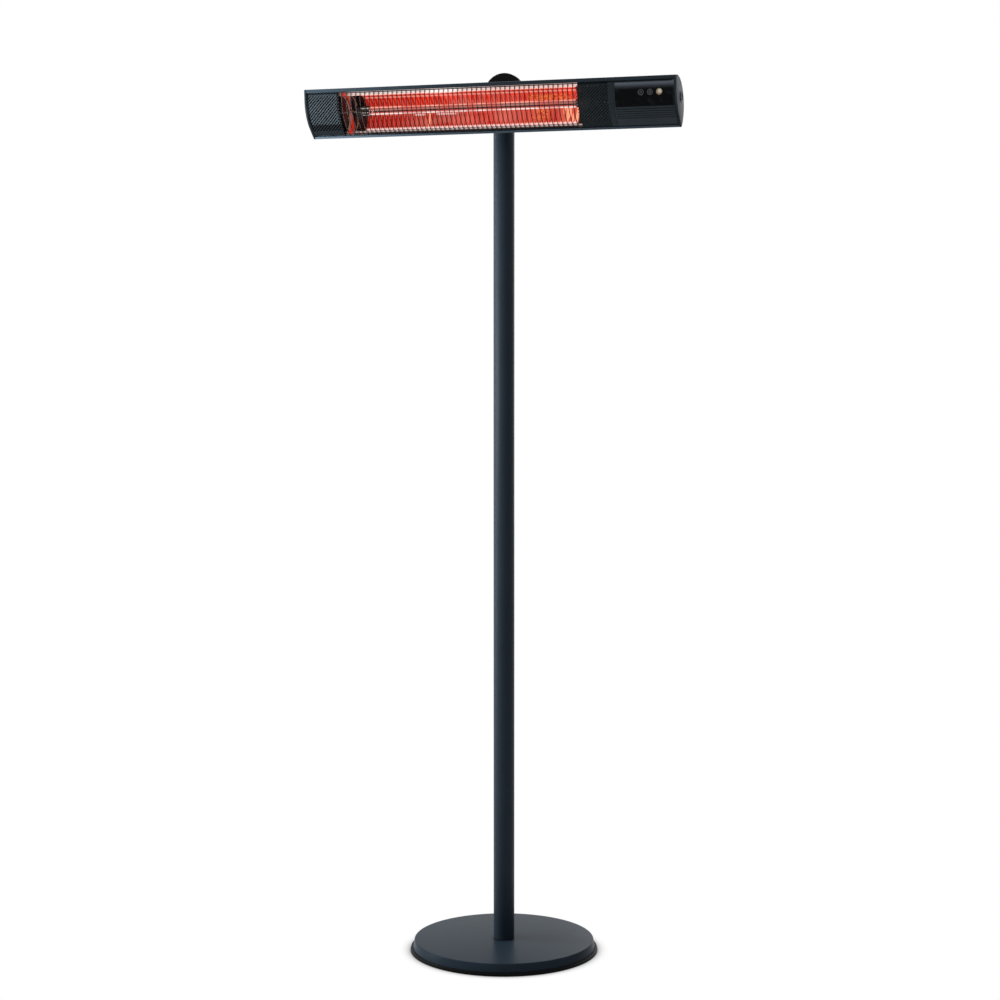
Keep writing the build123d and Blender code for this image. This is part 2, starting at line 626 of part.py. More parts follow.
with BuildPart() as plate_cover:
    with BuildSketch(back_wall(PLATE_FRONT)):
        Circle(COVER_RADIUS)
    extrude(amount=COVER_DEPTH)
    fillet(plate_cover.edges().group_by(Axis.Y)[-1], radius=COVER_ROUND)
    with BuildSketch(back_wall(PLATE_FRONT)):
        Circle(COVER_RADIUS - COVER_WALL)
    extrude(amount=COVER_DEPTH - COVER_WALL, mode=Mode.SUBTRACT)
    with BuildSketch(back_wall(PLATE_BACK)):
        Circle(COVER_BOSS_DIAMETER / 2)
    extrude(amount=COVER_DEPTH - COVER_WALL - PLATE_THICKNESS)
    with BuildSketch(back_wall(PLATE_BACK)):
        Circle(COVER_SCREW_DIAMETER / 2 + SLIP)
    extrude(amount=COVER_DEPTH, mode=Mode.SUBTRACT)
    with BuildSketch(back_wall(COVER_BACK)):
        Circle(COVER_SCREW_HEAD_DIAMETER / 2 + SLIP)
    extrude(amount=-COVER_SCREW_HEAD, mode=Mode.SUBTRACT)
    with BuildSketch(Plane.XY.offset(PLUG_TOP)):
        Rectangle(TONGUE_WIDTH + 2 * SLIP, PLATE_THICKNESS + 2 * SLIP)
    extrude(amount=COVER_RADIUS, mode=Mode.SUBTRACT)
save(plate_cover, "plate_cover")

with BuildPart() as cover_screw:
    with BuildSketch(back_wall(PLATE_FRONT)):
        Circle(COVER_SCREW_DIAMETER / 2)
    extrude(amount=COVER_DEPTH)
    with BuildSketch(back_wall(COVER_BACK)):
        Circle(COVER_SCREW_HEAD_DIAMETER / 2)
    extrude(amount=-COVER_SCREW_HEAD)
save(cover_screw, "cover_screw")

# ======================================================================================
# Fixed bracket, tilting bracket and hinge
# ======================================================================================
EAR_OUTER = BRACKET_WIDTH / 2
EAR_INNER = EAR_OUTER - BRACKET_SHEET
TILT_EAR_OUTER = EAR_INNER - FRICTION_WASHER_THICKNESS - SLIP
TILT_EAR_INNER = TILT_EAR_OUTER - BRACKET_SHEET
PIVOT_BORE = HINGE_BOLT_DIAMETER / 2 + RUNNING

with BuildPart() as fixed_bracket:
    with BuildSketch(pole_side(0)):
        with Locations((PIVOT_Y, PIVOT_Z)):
            Circle(EAR_RADIUS)
        with Locations(((BRACKET_FRONT + PLATE_FRONT) / 2, PLATE_Z)):
            Rectangle(BRACKET_SHEET, BRACKET_HEIGHT)
        make_hull()
    extrude(amount=EAR_OUTER, both=True)
    fillet(fixed_bracket.edges().filter_by(Axis.Z).group_by(Axis.Y)[-1], radius=BRACKET_SHEET - SLIP)
    with BuildSketch(pole_side(0)):
        with Locations((BRACKET_FRONT - COVER_DIAMETER / 2, PLATE_Z)):
            Rectangle(COVER_DIAMETER, COVER_DIAMETER)
    extrude(amount=EAR_INNER, both=True, mode=Mode.SUBTRACT)
    with BuildSketch(pole_side(0)):
        with Locations((PIVOT_Y, PIVOT_Z)):
            Circle(PIVOT_BORE)
    extrude(amount=EAR_OUTER, both=True, mode=Mode.SUBTRACT)
    with BuildSketch(back_wall(BRACKET_FRONT)):
        with GridLocations(BRACKET_SCREW_SPACING_X, BRACKET_SCREW_SPACING_Z, 2, 2):
            Circle(BRACKET_HOLE)
        Circle(COVER_SCREW_DIAMETER / 2 + SLIP)
    extrude(amount=BRACKET_SHEET, mode=Mode.SUBTRACT)
save(fixed_bracket, "fixed_bracket")

with BuildPart() as bracket_screws:
    with BuildSketch(back_wall(BRACKET_FRONT)):
        with GridLocations(BRACKET_SCREW_SPACING_X, BRACKET_SCREW_SPACING_Z, 2, 2):
            Circle(BRACKET_SCREW_DIAMETER / 2)
    extrude(amount=BRACKET_SHEET + PLATE_THICKNESS + BRACKET_NUT_THICKNESS + BRACKET_SCREW_TAIL)
    with BuildSketch(back_wall(BRACKET_FRONT)):
        with GridLocations(BRACKET_SCREW_SPACING_X, BRACKET_SCREW_SPACING_Z, 2, 2):
            RegularPolygon(BRACKET_SCREW_FLATS / 2, 6, major_radius=False)
    extrude(amount=-BRACKET_SCREW_HEAD)
save(bracket_screws, "bracket_screws")

with BuildPart() as bracket_nuts:
    with BuildSketch(back_wall(PLATE_BACK)):
        with GridLocations(BRACKET_SCREW_SPACING_X, BRACKET_SCREW_SPACING_Z, 2, 2):
            RegularPolygon(BRACKET_SCREW_FLATS / 2, 6, major_radius=False)
            Circle(BRACKET_HOLE, mode=Mode.SUBTRACT)
    extrude(amount=BRACKET_NUT_THICKNESS)
save(bracket_nuts, "bracket_nuts")

with BuildPart() as friction_washers:
    for x in (EAR_INNER - FRICTION_WASHER_THICKNESS, -EAR_INNER):
        with BuildSketch(pole_side(x)):
            with Locations((PIVOT_Y, PIVOT_Z)):
                Circle(FRICTION_WASHER_DIAMETER / 2)
                Circle(PIVOT_BORE, mode=Mode.SUBTRACT)
        extrude(amount=FRICTION_WASHER_THICKNESS)
save(friction_washers, "friction_washers")

with BuildPart() as hinge_washers:
    for x in (EAR_OUTER, -EAR_OUTER - HINGE_WASHER_THICKNESS):
        with BuildSketch(pole_side(x)):
            with Locations((PIVOT_Y, PIVOT_Z)):
                Circle(HINGE_WASHER_DIAMETER / 2)
                Circle(PIVOT_BORE, mode=Mode.SUBTRACT)
        extrude(amount=HINGE_WASHER_THICKNESS)
save(hinge_washers, "hinge_washers")

BOLT_SEAT = EAR_OUTER + HINGE_WASHER_THICKNESS

with BuildPart() as hinge_bolt:
    with BuildSketch(pole_side(BOLT_SEAT)):
        with Locations((PIVOT_Y, PIVOT_Z)):
            Circle(HINGE_BOLT_DIAMETER / 2)
    extrude(amount=-2 * BOLT_SEAT - HINGE_NUT_THICKNESS - HINGE_BOLT_TAIL)
    with BuildSketch(pole_side(BOLT_SEAT)):
        with Locations((PIVOT_Y, PIVOT_Z)):
            RegularPolygon(HINGE_BOLT_FLATS / 2, 6, major_radius=False)
    extrude(amount=HINGE_BOLT_HEAD)
save(hinge_bolt, "hinge_bolt")

with BuildPart() as hinge_nut:
    with BuildSketch(pole_side(-BOLT_SEAT)):
        with Locations((PIVOT_Y, PIVOT_Z)):
            RegularPolygon(HINGE_BOLT_FLATS / 2, 6, major_radius=False)
            Circle(PIVOT_BORE, mode=Mode.SUBTRACT)
    extrude(amount=-HINGE_NUT_THICKNESS)
save(hinge_nut, "hinge_nut")

with BuildPart() as tilt_bracket:
    with BuildSketch(head_section(0)):
        with Locations((PIVOT_DEPTH, 0)):
            Circle(EAR_RADIUS)
        with Locations((RAIL_BACK + BRACKET_SHEET / 2, 0)):
            Rectangle(BRACKET_SHEET, TILT_WEB_HEIGHT)
        make_hull()
    extrude(amount=TILT_EAR_OUTER, both=True)
    with BuildSketch(head_section(0)):
        with Locations((RAIL_BACK + BRACKET_SHEET + COVER_DIAMETER / 2, 0)):
            Rectangle(COVER_DIAMETER, COVER_DIAMETER)
    extrude(amount=TILT_EAR_INNER, both=True, mode=Mode.SUBTRACT)
    with BuildSketch(head_section(0)):
        with Locations((PIVOT_DEPTH, 0)):
            Circle(PIVOT_BORE)
    extrude(amount=TILT_EAR_OUTER, both=True, mode=Mode.SUBTRACT)
    with BuildSketch(head_front(RAIL_BACK)):
        with GridLocations(RAIL_BOLT_SPACING, 0, 2, 1):
            Circle(RAIL_BOLT_DIAMETER / 2 + SLIP)
    extrude(amount=-BRACKET_SHEET, mode=Mode.SUBTRACT)
save(tilt_bracket, "tilt_bracket")

with BuildPart() as hinge_sleeve:
    with BuildSketch(head_section(0)):
        with Locations((PIVOT_DEPTH, 0)):
            Circle(SLEEVE_DIAMETER / 2)
            Circle(PIVOT_BORE, mode=Mode.SUBTRACT)
    extrude(amount=TILT_EAR_INNER, both=True)
save(hinge_sleeve, "hinge_sleeve")

with BuildPart() as rail_bolts:
    with BuildSketch(head_front(RAIL_BACK - SLOT_LIP)):
        with GridLocations(RAIL_BOLT_SPACING, 0, 2, 1):
            Rectangle(RAIL_BOLT_HEAD_SIZE, RAIL_BOLT_HEAD_SIZE)
    extrude(amount=RAIL_BOLT_HEAD)
    with BuildSketch(head_front(RAIL_BACK - SLOT_LIP)):
        with GridLocations(RAIL_BOLT_SPACING, 0, 2, 1):
            Circle(RAIL_BOLT_DIAMETER / 2)
    extrude(amount=-SLOT_LIP - BRACKET_SHEET - RAIL_NUT_THICKNESS - RAIL_BOLT_TAIL)
save(rail_bolts, "rail_bolts")

with BuildPart() as rail_nuts:
    with BuildSketch(head_front(RAIL_BACK + BRACKET_SHEET)):
        with GridLocations(RAIL_BOLT_SPACING, 0, 2, 1):
            RegularPolygon(RAIL_NUT_FLATS / 2, 6, major_radius=False)
            Circle(RAIL_BOLT_DIAMETER / 2 + SLIP, mode=Mode.SUBTRACT)
    extrude(amount=-RAIL_NUT_THICKNESS)
save(rail_nuts, "rail_nuts")

# ======================================================================================
# Head housing and its ends
# ======================================================================================
PORTS = [
    (OUTER_PORT_DEPTH, OUTER_PORT_HEIGHT),
    (OUTER_PORT_DEPTH, -OUTER_PORT_HEIGHT),
    (INNER_PORT_DEPTH, INNER_PORT_HEIGHT),
    (INNER_PORT_DEPTH, -INNER_PORT_HEIGHT),
]
WEB_EDGE = OPENING_HALF + HOUSING_WALL
GLAND_X = HOUSING_RIGHT - GLAND_FROM_RIGHT
GLAND_ANGLE = asin(GLAND_HEIGHT / BACK_RADIUS)


def gland_plane(radius):
    """Plane square to the cable entry, at a distance from the centre of the rounded back."""
    depth = BACK_CENTRE + radius * cos(GLAND_ANGLE)
    height = radius * sin(GLAND_ANGLE)
    return skin_plane(height, pi - GLAND_ANGLE, depth, GLAND_X)


whole_section = head_face(0)
hollow_section = head_face(HOUSING_WALL)
ledges = [
    front_band(SEAT_DEPTH, LEDGE_BACK, LEDGE_EDGE, WEB_EDGE),
    front_band(SEAT_DEPTH, LEDGE_BACK, -WEB_EDGE, -LEDGE_EDGE),
    front_band(0, LEDGE_BACK, OPENING_HALF, WEB_EDGE),
    front_band(0, LEDGE_BACK, -WEB_EDGE, -OPENING_HALF),
]

with BuildPart() as housing:
    with BuildSketch(head_section(HOUSING_LEFT)):
        add(whole_section)
        add(hollow_section, mode=Mode.SUBTRACT)
        with Locations((-BACK_DEPTH, 0)):
            Rectangle(2 * BACK_DEPTH, 2 * OPENING_HALF, mode=Mode.SUBTRACT)
        for ledge in ledges:
            add(ledge)
        with Locations(*PORTS):
            Circle(PORT_DIAMETER / 2)
        with Locations((RAIL_BACK - RAIL_HEIGHT / 2, 0)):
            Rectangle(RAIL_HEIGHT, RAIL_WIDTH)
        with Locations(*PORTS):
            Circle(PORT_BORE / 2, mode=Mode.SUBTRACT)
        with Locations((RAIL_BACK - SLOT_LIP / 2, 0)):
            Rectangle(SLOT_LIP, SLOT_WIDTH, mode=Mode.SUBTRACT)
        with Locations((RAIL_BACK - SLOT_LIP - SLOT_CAVITY_DEPTH / 2, 0)):
            Rectangle(SLOT_CAVITY_DEPTH, SLOT_CAVITY_WIDTH, mode=Mode.SUBTRACT)
    extrude(amount=HOUSING_LENGTH)
    with BuildSketch(gland_plane(BACK_RADIUS)):
        Circle(GLAND_THREAD / 2 + SLIP)
    extrude(amount=HOUSING_WALL * 2, both=True, mode=Mode.SUBTRACT)
save(housing, "housing")

gasket_outer = head_face(SEAT_GAP)

with BuildPart() as end_gaskets:
    for x in (HOUSING_LEFT - GASKET_THICKNESS, HOUSING_RIGHT):
        with BuildSketch(head_section(x)):
            add(gasket_outer)
            add(hollow_section, mode=Mode.SUBTRACT)
        extrude(amount=GASKET_THICKNESS)
save(end_gaskets, "end_gaskets")

rim_outer = head_face(HOUSING_WALL + SEAT_GAP)
rim_inner = head_face(HOUSING_WALL + SEAT_GAP + CAP_RIM_WALL)


def end_cap(x, side):
    """Solid of one end cap: a plate with the head's section and a rim that enters the back."""
    with BuildPart() as cap:
        with BuildSketch(head_section(x)):
            add(whole_section)
        extrude(amount=side * CAP_THICKNESS)
        outer_face = cap.faces().filter_by(Axis.X).sort_by(Axis.X)[-1 if side > 0 else 0]
        fillet(outer_face.edges(), radius=CAP_ROUND)
        with BuildSketch(head_section(x)):
            add(rim_outer)
            add(rim_inner, mode=Mode.SUBTRACT)
            with Locations((CAP_RIM_START - BACK_DEPTH, 0)):
                Rectangle(2 * BACK_DEPTH, CHORD, mode=Mode.SUBTRACT)
            with Locations((RAIL_BACK - RAIL_HEIGHT / 2, 0)):
                Rectangle(RAIL_HEIGHT + 2 * SEAT_GAP, RAIL_WIDTH + 2 * SEAT_GAP, mode=Mode.SUBTRACT)
            with Locations(*PORTS):
                Circle(PORT_DIAMETER / 2 + SEAT_GAP, mode=Mode.SUBTRACT)
        extrude(amount=-side * (CAP_RIM_DEPTH + GASKET_THICKNESS))
        with BuildSketch(head_section(x)):
            with Locations(*PORTS):
                Circle(CAP_SCREW_DIAMETER / 2 + SLIP)
        extrude(amount=side * CAP_THICKNESS, mode=Mode.SUBTRACT)
        with BuildSketch(head_section(x + side * CAP_THICKNESS)):
            with Locations(*PORTS):
                Circle(CAP_SCREW_HEAD_DIAMETER / 2 + SLIP)
        extrude(amount=-side * CAP_SCREW_HEAD, mode=Mode.SUBTRACT)
    return cap.part


LEFT_CAP_SEAT = HEAD_LEFT + CAP_THICKNESS
RIGHT_CAP_SEAT = HEAD_RIGHT - CAP_THICKNESS

with BuildPart() as left_end_cap:
    add(end_cap(LEFT_CAP_SEAT, -1))
save(left_end_cap, "left_end_cap")

with BuildPart() as right_end_cap:
    add(end_cap(RIGHT_CAP_SEAT, 1))
    with BuildSketch(head_section(RIGHT_CAP_SEAT)):
        with Locations((SWITCH_DEPTH, 0)):
            Circle(SWITCH_DIAMETER / 2 + SLIP)
    extrude(amount=CAP_THICKNESS, mode=Mode.SUBTRACT)
save(right_end_cap, "right_end_cap")

with BuildPart() as end_cap_screws:
    for x, inward in ((HEAD_LEFT, 1), (HEAD_RIGHT, -1)):
        with BuildSketch(head_section(x)):
            with Locations(*PORTS):
                Circle(CAP_SCREW_HEAD_DIAMETER / 2)
        extrude(amount=inward * CAP_SCREW_HEAD)
        with BuildSketch(head_section(x)):
            with Locations(*PORTS):
                Circle(CAP_SCREW_DIAMETER / 2)
        extrude(amount=inward * CAP_SCREW_LENGTH)
save(end_cap_screws, "end_cap_screws")

# ======================================================================================
# Front pieces: mesh panels, wire guard, divider
# ======================================================================================
PANEL_FOOT = SEAT_DEPTH - SEAT_GAP
MESH_TOP = FRONT_HALF - MESH_BORDER
MESH_BOTTOM = MESH_LOWER_BAND - FRONT_HALF
MESH_ROW = MESH_PITCH * sin(pi / 3)


def mesh_panel(start, width, rim_start):
    """Perforated sheet bent to the front skin, with turned edges and one raised side rim."""
    sheet = front_band(MESH_INSET, MESH_INSET + MESH_SHEET, -FRONT_HALF, FRONT_HALF)
    top_edge = front_band(MESH_INSET, PANEL_FOOT, FRONT_HALF - MESH_SHEET, FRONT_HALF)
    bottom_edge = front_band(MESH_INSET, PANEL_FOOT, -FRONT_HALF, MESH_SHEET - FRONT_HALF)
    rim = front_band(0, MESH_INSET + MESH_SHEET, -FRONT_HALF, FRONT_HALF)
    columns = int((width - 2 * MESH_BORDER) / MESH_PITCH)
    rows = int((MESH_TOP - MESH_BOTTOM) / MESH_ROW)
    with BuildPart() as panel:
        with BuildSketch(head_section(start)):
            add(sheet)
            add(top_edge)
            add(bottom_edge)
        extrude(amount=width)
        with BuildSketch(head_section(rim_start)):
            add(rim)
        extrude(amount=RIM_WIDTH)
        with BuildSketch(head_front(-BACK_DEPTH, start + width / 2)):
            for row in range(rows):
                shift = MESH_PITCH / 4 * (1 if row % 2 else -1)
                with Locations((shift, MESH_BOTTOM + (row + 0.5) * MESH_ROW)):
                    with GridLocations(MESH_PITCH, 0, columns, 1):
                        RegularPolygon(MESH_HOLE / 2, 6)
        extrude(amount=-BACK_DEPTH - RAIL_HEIGHT, mode=Mode.SUBTRACT)
    return panel.part


with BuildPart() as left_mesh_panel:
    add(mesh_panel(LEFT_PANEL_START, LEFT_PANEL_WIDTH, LEFT_PANEL_START + LEFT_PANEL_WIDTH - RIM_WIDTH))
save(left_mesh_panel, "left_mesh_panel")

with BuildPart() as right_mesh_panel:
    add(mesh_panel(RIGHT_PANEL_START, RIGHT_PANEL_WIDTH, RIGHT_PANEL_START))
save(right_mesh_panel, "right_mesh_panel")

# Each guard wire follows the skin; three straight rods lie behind the wires and are welded on.
WIRE_INSET = GUARD_WIRE / 2
ROD_INSET = GUARD_WIRE + GUARD_RAIL / 2 - GUARD_WELD
WIRE_END = GUARD_RAIL_HEIGHT + GUARD_OVERHANG
WIRE_COUNT = int((WINDOW_RIGHT - WINDOW_LEFT) / GUARD_PITCH)
WIRE_START = (WINDOW_LEFT + WINDOW_RIGHT - (WIRE_COUNT - 1) * GUARD_PITCH) / 2
ROD_START = WINDOW_LEFT + SEAT_GAP
ROD_LENGTH = WINDOW_RIGHT - WINDOW_LEFT - 2 * SEAT_GAP
ROD_PLACES = [
    (front_depth(GUARD_RAIL_HEIGHT, ROD_INSET), GUARD_RAIL_HEIGHT),
    (bend_depth(GUARD_MIDDLE_HEIGHT, ROD_INSET), GUARD_MIDDLE_HEIGHT),
    (lower_depth(-GUARD_RAIL_HEIGHT, ROD_INSET), -GUARD_RAIL_HEIGHT),
]

with BuildPart() as guard_wire:
    with BuildLine(head_section(0)):
        FilletPolyline(
            (front_depth(WIRE_END, WIRE_INSET), WIRE_END),
            front_vertex(WIRE_INSET),
            (lower_depth(-WIRE_END, WIRE_INSET), -WIRE_END),
            radius=FRONT_BEND_RADIUS - WIRE_INSET,
        )
    with BuildSketch(skin_plane(WIRE_END, pi / 2 + UPPER, front_depth(WIRE_END, WIRE_INSET))):
        Circle(GUARD_WIRE / 2)
    sweep()

with BuildPart() as wire_guard:
    with Locations(*[(WIRE_START + i * GUARD_PITCH, 0, 0) for i in range(WIRE_COUNT)]):
        add(guard_wire.part)
    with BuildSketch(head_section(ROD_START)):
        with Locations(*ROD_PLACES):
            Circle(GUARD_RAIL / 2)
    extrude(amount=ROD_LENGTH)
save(wire_guard, "wire_guard")

with BuildPart() as divider_strip:
    with BuildSketch(head_section(DIVIDER_LEFT)):
        add(front_band(0, DIVIDER_SHEET, -FRONT_HALF, FRONT_HALF))
        add(front_band(0, PANEL_FOOT, FRONT_HALF - DIVIDER_SHEET, FRONT_HALF))
        add(front_band(0, PANEL_FOOT, -FRONT_HALF, DIVIDER_SHEET - FRONT_HALF))
    extrude(amount=DIVIDER_WIDTH)
save(divider_strip, "divider_strip")

# ======================================================================================
# Lamp bay: reflector, end plates, lamp, holders, leads, partition
# ======================================================================================
FLANGE_INSET = LEDGE_BACK + SEAT_GAP
REFLECTOR_MOUTH = LEDGE_EDGE - REFLECTOR_SHEET - SEAT_GAP
TROUGH_TOP = (front_depth(REFLECTOR_MOUTH, FLANGE_INSET), REFLECTOR_MOUTH)
TROUGH_FOOT = (lower_depth(-REFLECTOR_MOUTH, FLANGE_INSET), -REFLECTOR_MOUTH)
TROUGH_LENGTH = REFLECTOR_RIGHT - REFLECTOR_LEFT
LEAD_BACK = REFLECTOR_DEPTH + REFLECTOR_SHEET + LEAD_BACK_GAP + LEAD_DIAMETER / 2
TERMINAL_X = PARTITION_X + PARTITION_SHEET + TERMINAL_GAP
LEAD_PLACES = [(LAMP_DEPTH, 0), (LEAD_BACK, 0)]
LAMP_RADIUS = LAMP_DIAMETER / 2
CERAMIC_RADIUS = LAMP_RADIUS + CERAMIC_WALL
HOLDER_REACH = CERAMIC_RADIUS + HOLDER_WALL


def trough_face(clearance):
    """Space inside the reflector's trough, `clearance` off its polished face."""
    with BuildSketch() as space:
        with BuildLine():
            ThreePointArc(TROUGH_FOOT, (REFLECTOR_DEPTH, 0), TROUGH_TOP)
            Line(TROUGH_TOP, TROUGH_FOOT)
        make_face()
        offset(amount=-clearance, kind=Kind.INTERSECTION, mode=Mode.REPLACE)
    return space.sketch


FLANGE_BACK = FLANGE_INSET + REFLECTOR_SHEET
upper_flange = front_band(FLANGE_INSET, FLANGE_BACK, REFLECTOR_MOUTH, REFLECTOR_FLANGE_HEIGHT)
lower_flange = front_band(FLANGE_INSET, FLANGE_BACK, -REFLECTOR_FLANGE_HEIGHT, -REFLECTOR_MOUTH)

with BuildPart() as reflector:
    with BuildSketch(head_section(REFLECTOR_LEFT)):
        with BuildLine():
            ThreePointArc(TROUGH_FOOT, (REFLECTOR_DEPTH, 0), TROUGH_TOP)
            Line(TROUGH_TOP, (TROUGH_TOP[0], TROUGH_TOP[1] + REFLECTOR_SHEET))
            ThreePointArc(
                (TROUGH_TOP[0], TROUGH_TOP[1] + REFLECTOR_SHEET),
                (REFLECTOR_DEPTH + REFLECTOR_SHEET, 0),
                (TROUGH_FOOT[0], TROUGH_FOOT[1] - REFLECTOR_SHEET),
            )
            Line((TROUGH_FOOT[0], TROUGH_FOOT[1] - REFLECTOR_SHEET), TROUGH_FOOT)
        make_face()
        add(upper_flange)
        add(lower_flange)
    extrude(amount=TROUGH_LENGTH)
save(reflector, "reflector")

trough_space = trough_face(SEAT_GAP)

with BuildPart() as reflector_end_plates:
    for x in (REFLECTOR_LEFT, REFLECTOR_RIGHT - REFLECTOR_SHEET):
        with BuildSketch(head_section(x)):
            add(trough_space)
            with Locations((END_PLATE_FRONT - BACK_DEPTH, 0)):
                Rectangle(2 * BACK_DEPTH, CHORD, mode=Mode.SUBTRACT)
            with Locations((LAMP_DEPTH, 0)):
                Circle(LEAD_HOLE / 2, mode=Mode.SUBTRACT)
        extrude(amount=REFLECTOR_SHEET)
save(reflector_end_plates, "reflector_end_plates")

with BuildPart() as lamp_tube:
    with BuildSketch(head_section(GLASS_LEFT)):
        with Locations((LAMP_DEPTH, 0)):
            Circle(LAMP_RADIUS)
            Circle(LAMP_RADIUS - LAMP_GLASS, mode=Mode.SUBTRACT)
    extrude(amount=GLASS_RIGHT - GLASS_LEFT)
save(lamp_tube, "lamp_tube")

with BuildPart() as lamp_filament:
    with BuildSketch(head_section(GLASS_LEFT)):
        with Locations((LAMP_DEPTH, 0)):
            Circle(FILAMENT_DIAMETER / 2)
    extrude(amount=GLASS_RIGHT - GLASS_LEFT)
save(lamp_filament, "lamp_filament")

with BuildPart() as lamp_ceramics:
    for outer_end, inward in ((CERAMIC_LEFT, 1), (CERAMIC_RIGHT, -1)):
        with BuildSketch(head_section(outer_end)):
            with Locations((LAMP_DEPTH, 0)):
                Circle(CERAMIC_RADIUS)
        extrude(amount=inward * (CERAMIC_LENGTH - CERAMIC_GRIP))
        with BuildSketch(head_section(outer_end + inward * (CERAMIC_LENGTH - CERAMIC_GRIP))):
            with Locations((LAMP_DEPTH, 0)):
                Circle(CERAMIC_RADIUS)
                Circle(LAMP_RADIUS + SLIP, mode=Mode.SUBTRACT)
        extrude(amount=inward * CERAMIC_GRIP)
save(lamp_ceramics, "lamp_ceramics")

HOLDER_START = LAMP_DEPTH - HOLDER_REACH

with BuildPart() as lamp_holders:
    for x in (CERAMIC_LEFT, CERAMIC_RIGHT - HOLDER_THICKNESS):
        with BuildSketch(head_section(x)):
            add(trough_space)
            with Locations((HOLDER_START + BACK_DEPTH / 2, 0)):
                Rectangle(BACK_DEPTH, 2 * HOLDER_REACH, mode=Mode.INTERSECT)
            with Locations((LAMP_DEPTH, 0)):
                Circle(CERAMIC_RADIUS + SLIP, mode=Mode.SUBTRACT)
        extrude(amount=HOLDER_THICKNESS)
save(lamp_holders, "lamp_holders")

LEAD_TURN_X = REFLECTOR_LEFT - LEAD_RISE

with BuildPart() as lamp_leads:
    with BuildLine(Plane(head_front(0).origin, x_dir=(1, 0, 0), z_dir=(0, -sin(TILT), cos(TILT)))):
        FilletPolyline(
            (CERAMIC_LEFT, LAMP_DEPTH),
            (LEAD_TURN_X, LAMP_DEPTH),
            (LEAD_TURN_X, LEAD_BACK),
            (TERMINAL_X, LEAD_BACK),
            radius=LEAD_BEND,
        )
    with BuildSketch(head_section(CERAMIC_LEFT)):
        with Locations((LAMP_DEPTH, 0)):
            Circle(LEAD_DIAMETER / 2)
    sweep()
    with BuildSketch(head_section(CERAMIC_RIGHT)):
        with Locations((LAMP_DEPTH, 0)):
            Circle(LEAD_DIAMETER / 2)
    extrude(amount=TERMINAL_X - CERAMIC_RIGHT)
save(lamp_leads, "lamp_leads")

with BuildPart() as bay_partition:
    with BuildSketch(head_section(PARTITION_X)):
        add(head_face(PARTITION_INSET))
        with Locations(*PORTS):
            Circle(PORT_DIAMETER / 2 + SEAT_GAP, mode=Mode.SUBTRACT)
        with Locations(*LEAD_PLACES):
            Circle(LEAD_HOLE / 2, mode=Mode.SUBTRACT)
    extrude(amount=PARTITION_SHEET)
save(bay_partition, "bay_partition")

with BuildPart() as terminal_block:
    with BuildSketch(head_section(TERMINAL_X)):
        with Locations(((TERMINAL_FRONT + RAIL_FLOOR) / 2, 0)):
            Rectangle(RAIL_FLOOR - TERMINAL_FRONT, TERMINAL_WIDTH)
    extrude(amount=TERMINAL_LENGTH)
save(terminal_block, "terminal_block")

# ======================================================================================
# Control bay: moulded cover, glass, keys, receiver, circuit board
# ======================================================================================
KEY_ANGLE = asin((KEY_HEIGHT - BEND_HEIGHT) / FRONT_BEND_RADIUS)
KEY_X = CONTROL_LEFT + KEY_START
KEY_PLACES = [(i * KEY_PITCH, 0) for i in range(3)]
KEY_HOLE_RADIUS = KEY_DIAMETER / 2 + KEY_CLEARANCE
GLASS_BACK = GLASS_INSET + GLASS_THICKNESS
COVER_FRONT = GLASS_BACK + SLIP
BOARD_X = (CONTROL_LEFT + CONTROL_RIGHT) / 2
BOARD_MIDDLE = (BOARD_TOP + BOARD_BOTTOM) / 2
BOARD_HEIGHT = BOARD_TOP - BOARD_BOTTOM
STEM_END = BOARD_DEPTH - TACT_HEIGHT - KEY_TRAVEL - SEAT_GAP


def key_plane(depth, x=KEY_X):
    """Plane square to the keys, `depth` under the skin, with its origin on the key row."""
    return skin_plane(KEY_HEIGHT, KEY_ANGLE, bend_depth(KEY_HEIGHT, 0), x).offset(-depth)


def bulge(distance):
    """How far the bent skin falls away from the key plane at a distance from the key row."""
    return distance**2 / (2 * FRONT_BEND_RADIUS)


FLANGE_DEPTH = PANEL_FOOT + bulge(KEY_FLANGE_DIAMETER / 2) + SEAT_GAP

cover_skin = front_band(COVER_FRONT, PANEL_FOOT, -FRONT_HALF, FRONT_HALF)
cover_lower = front_band(0, PANEL_FOOT, -FRONT_HALF, GLASS_BOTTOM - SEAT_GAP)
cover_upper = front_band(0, PANEL_FOOT, GLASS_TOP + SEAT_GAP, FRONT_HALF)
cover_side = front_band(0, PANEL_FOOT, -FRONT_HALF, FRONT_HALF)
glass_band = front_band(GLASS_INSET, GLASS_BACK, GLASS_BOTTOM, GLASS_TOP)
RIB_FIRST = pi + asin((BEND_HEIGHT - GLASS_BOTTOM) / FRONT_BEND_RADIUS) + RIB_START / FRONT_BEND_RADIUS
RIB_STEP = RIB_PITCH / FRONT_BEND_RADIUS
GROOVES = [
    (
        BEND_DEPTH + FRONT_BEND_RADIUS * cos(RIB_FIRST + i * RIB_STEP),
        BEND_HEIGHT + FRONT_BEND_RADIUS * sin(RIB_FIRST + i * RIB_STEP),
    )
    for i in range(RIB_COUNT)
]

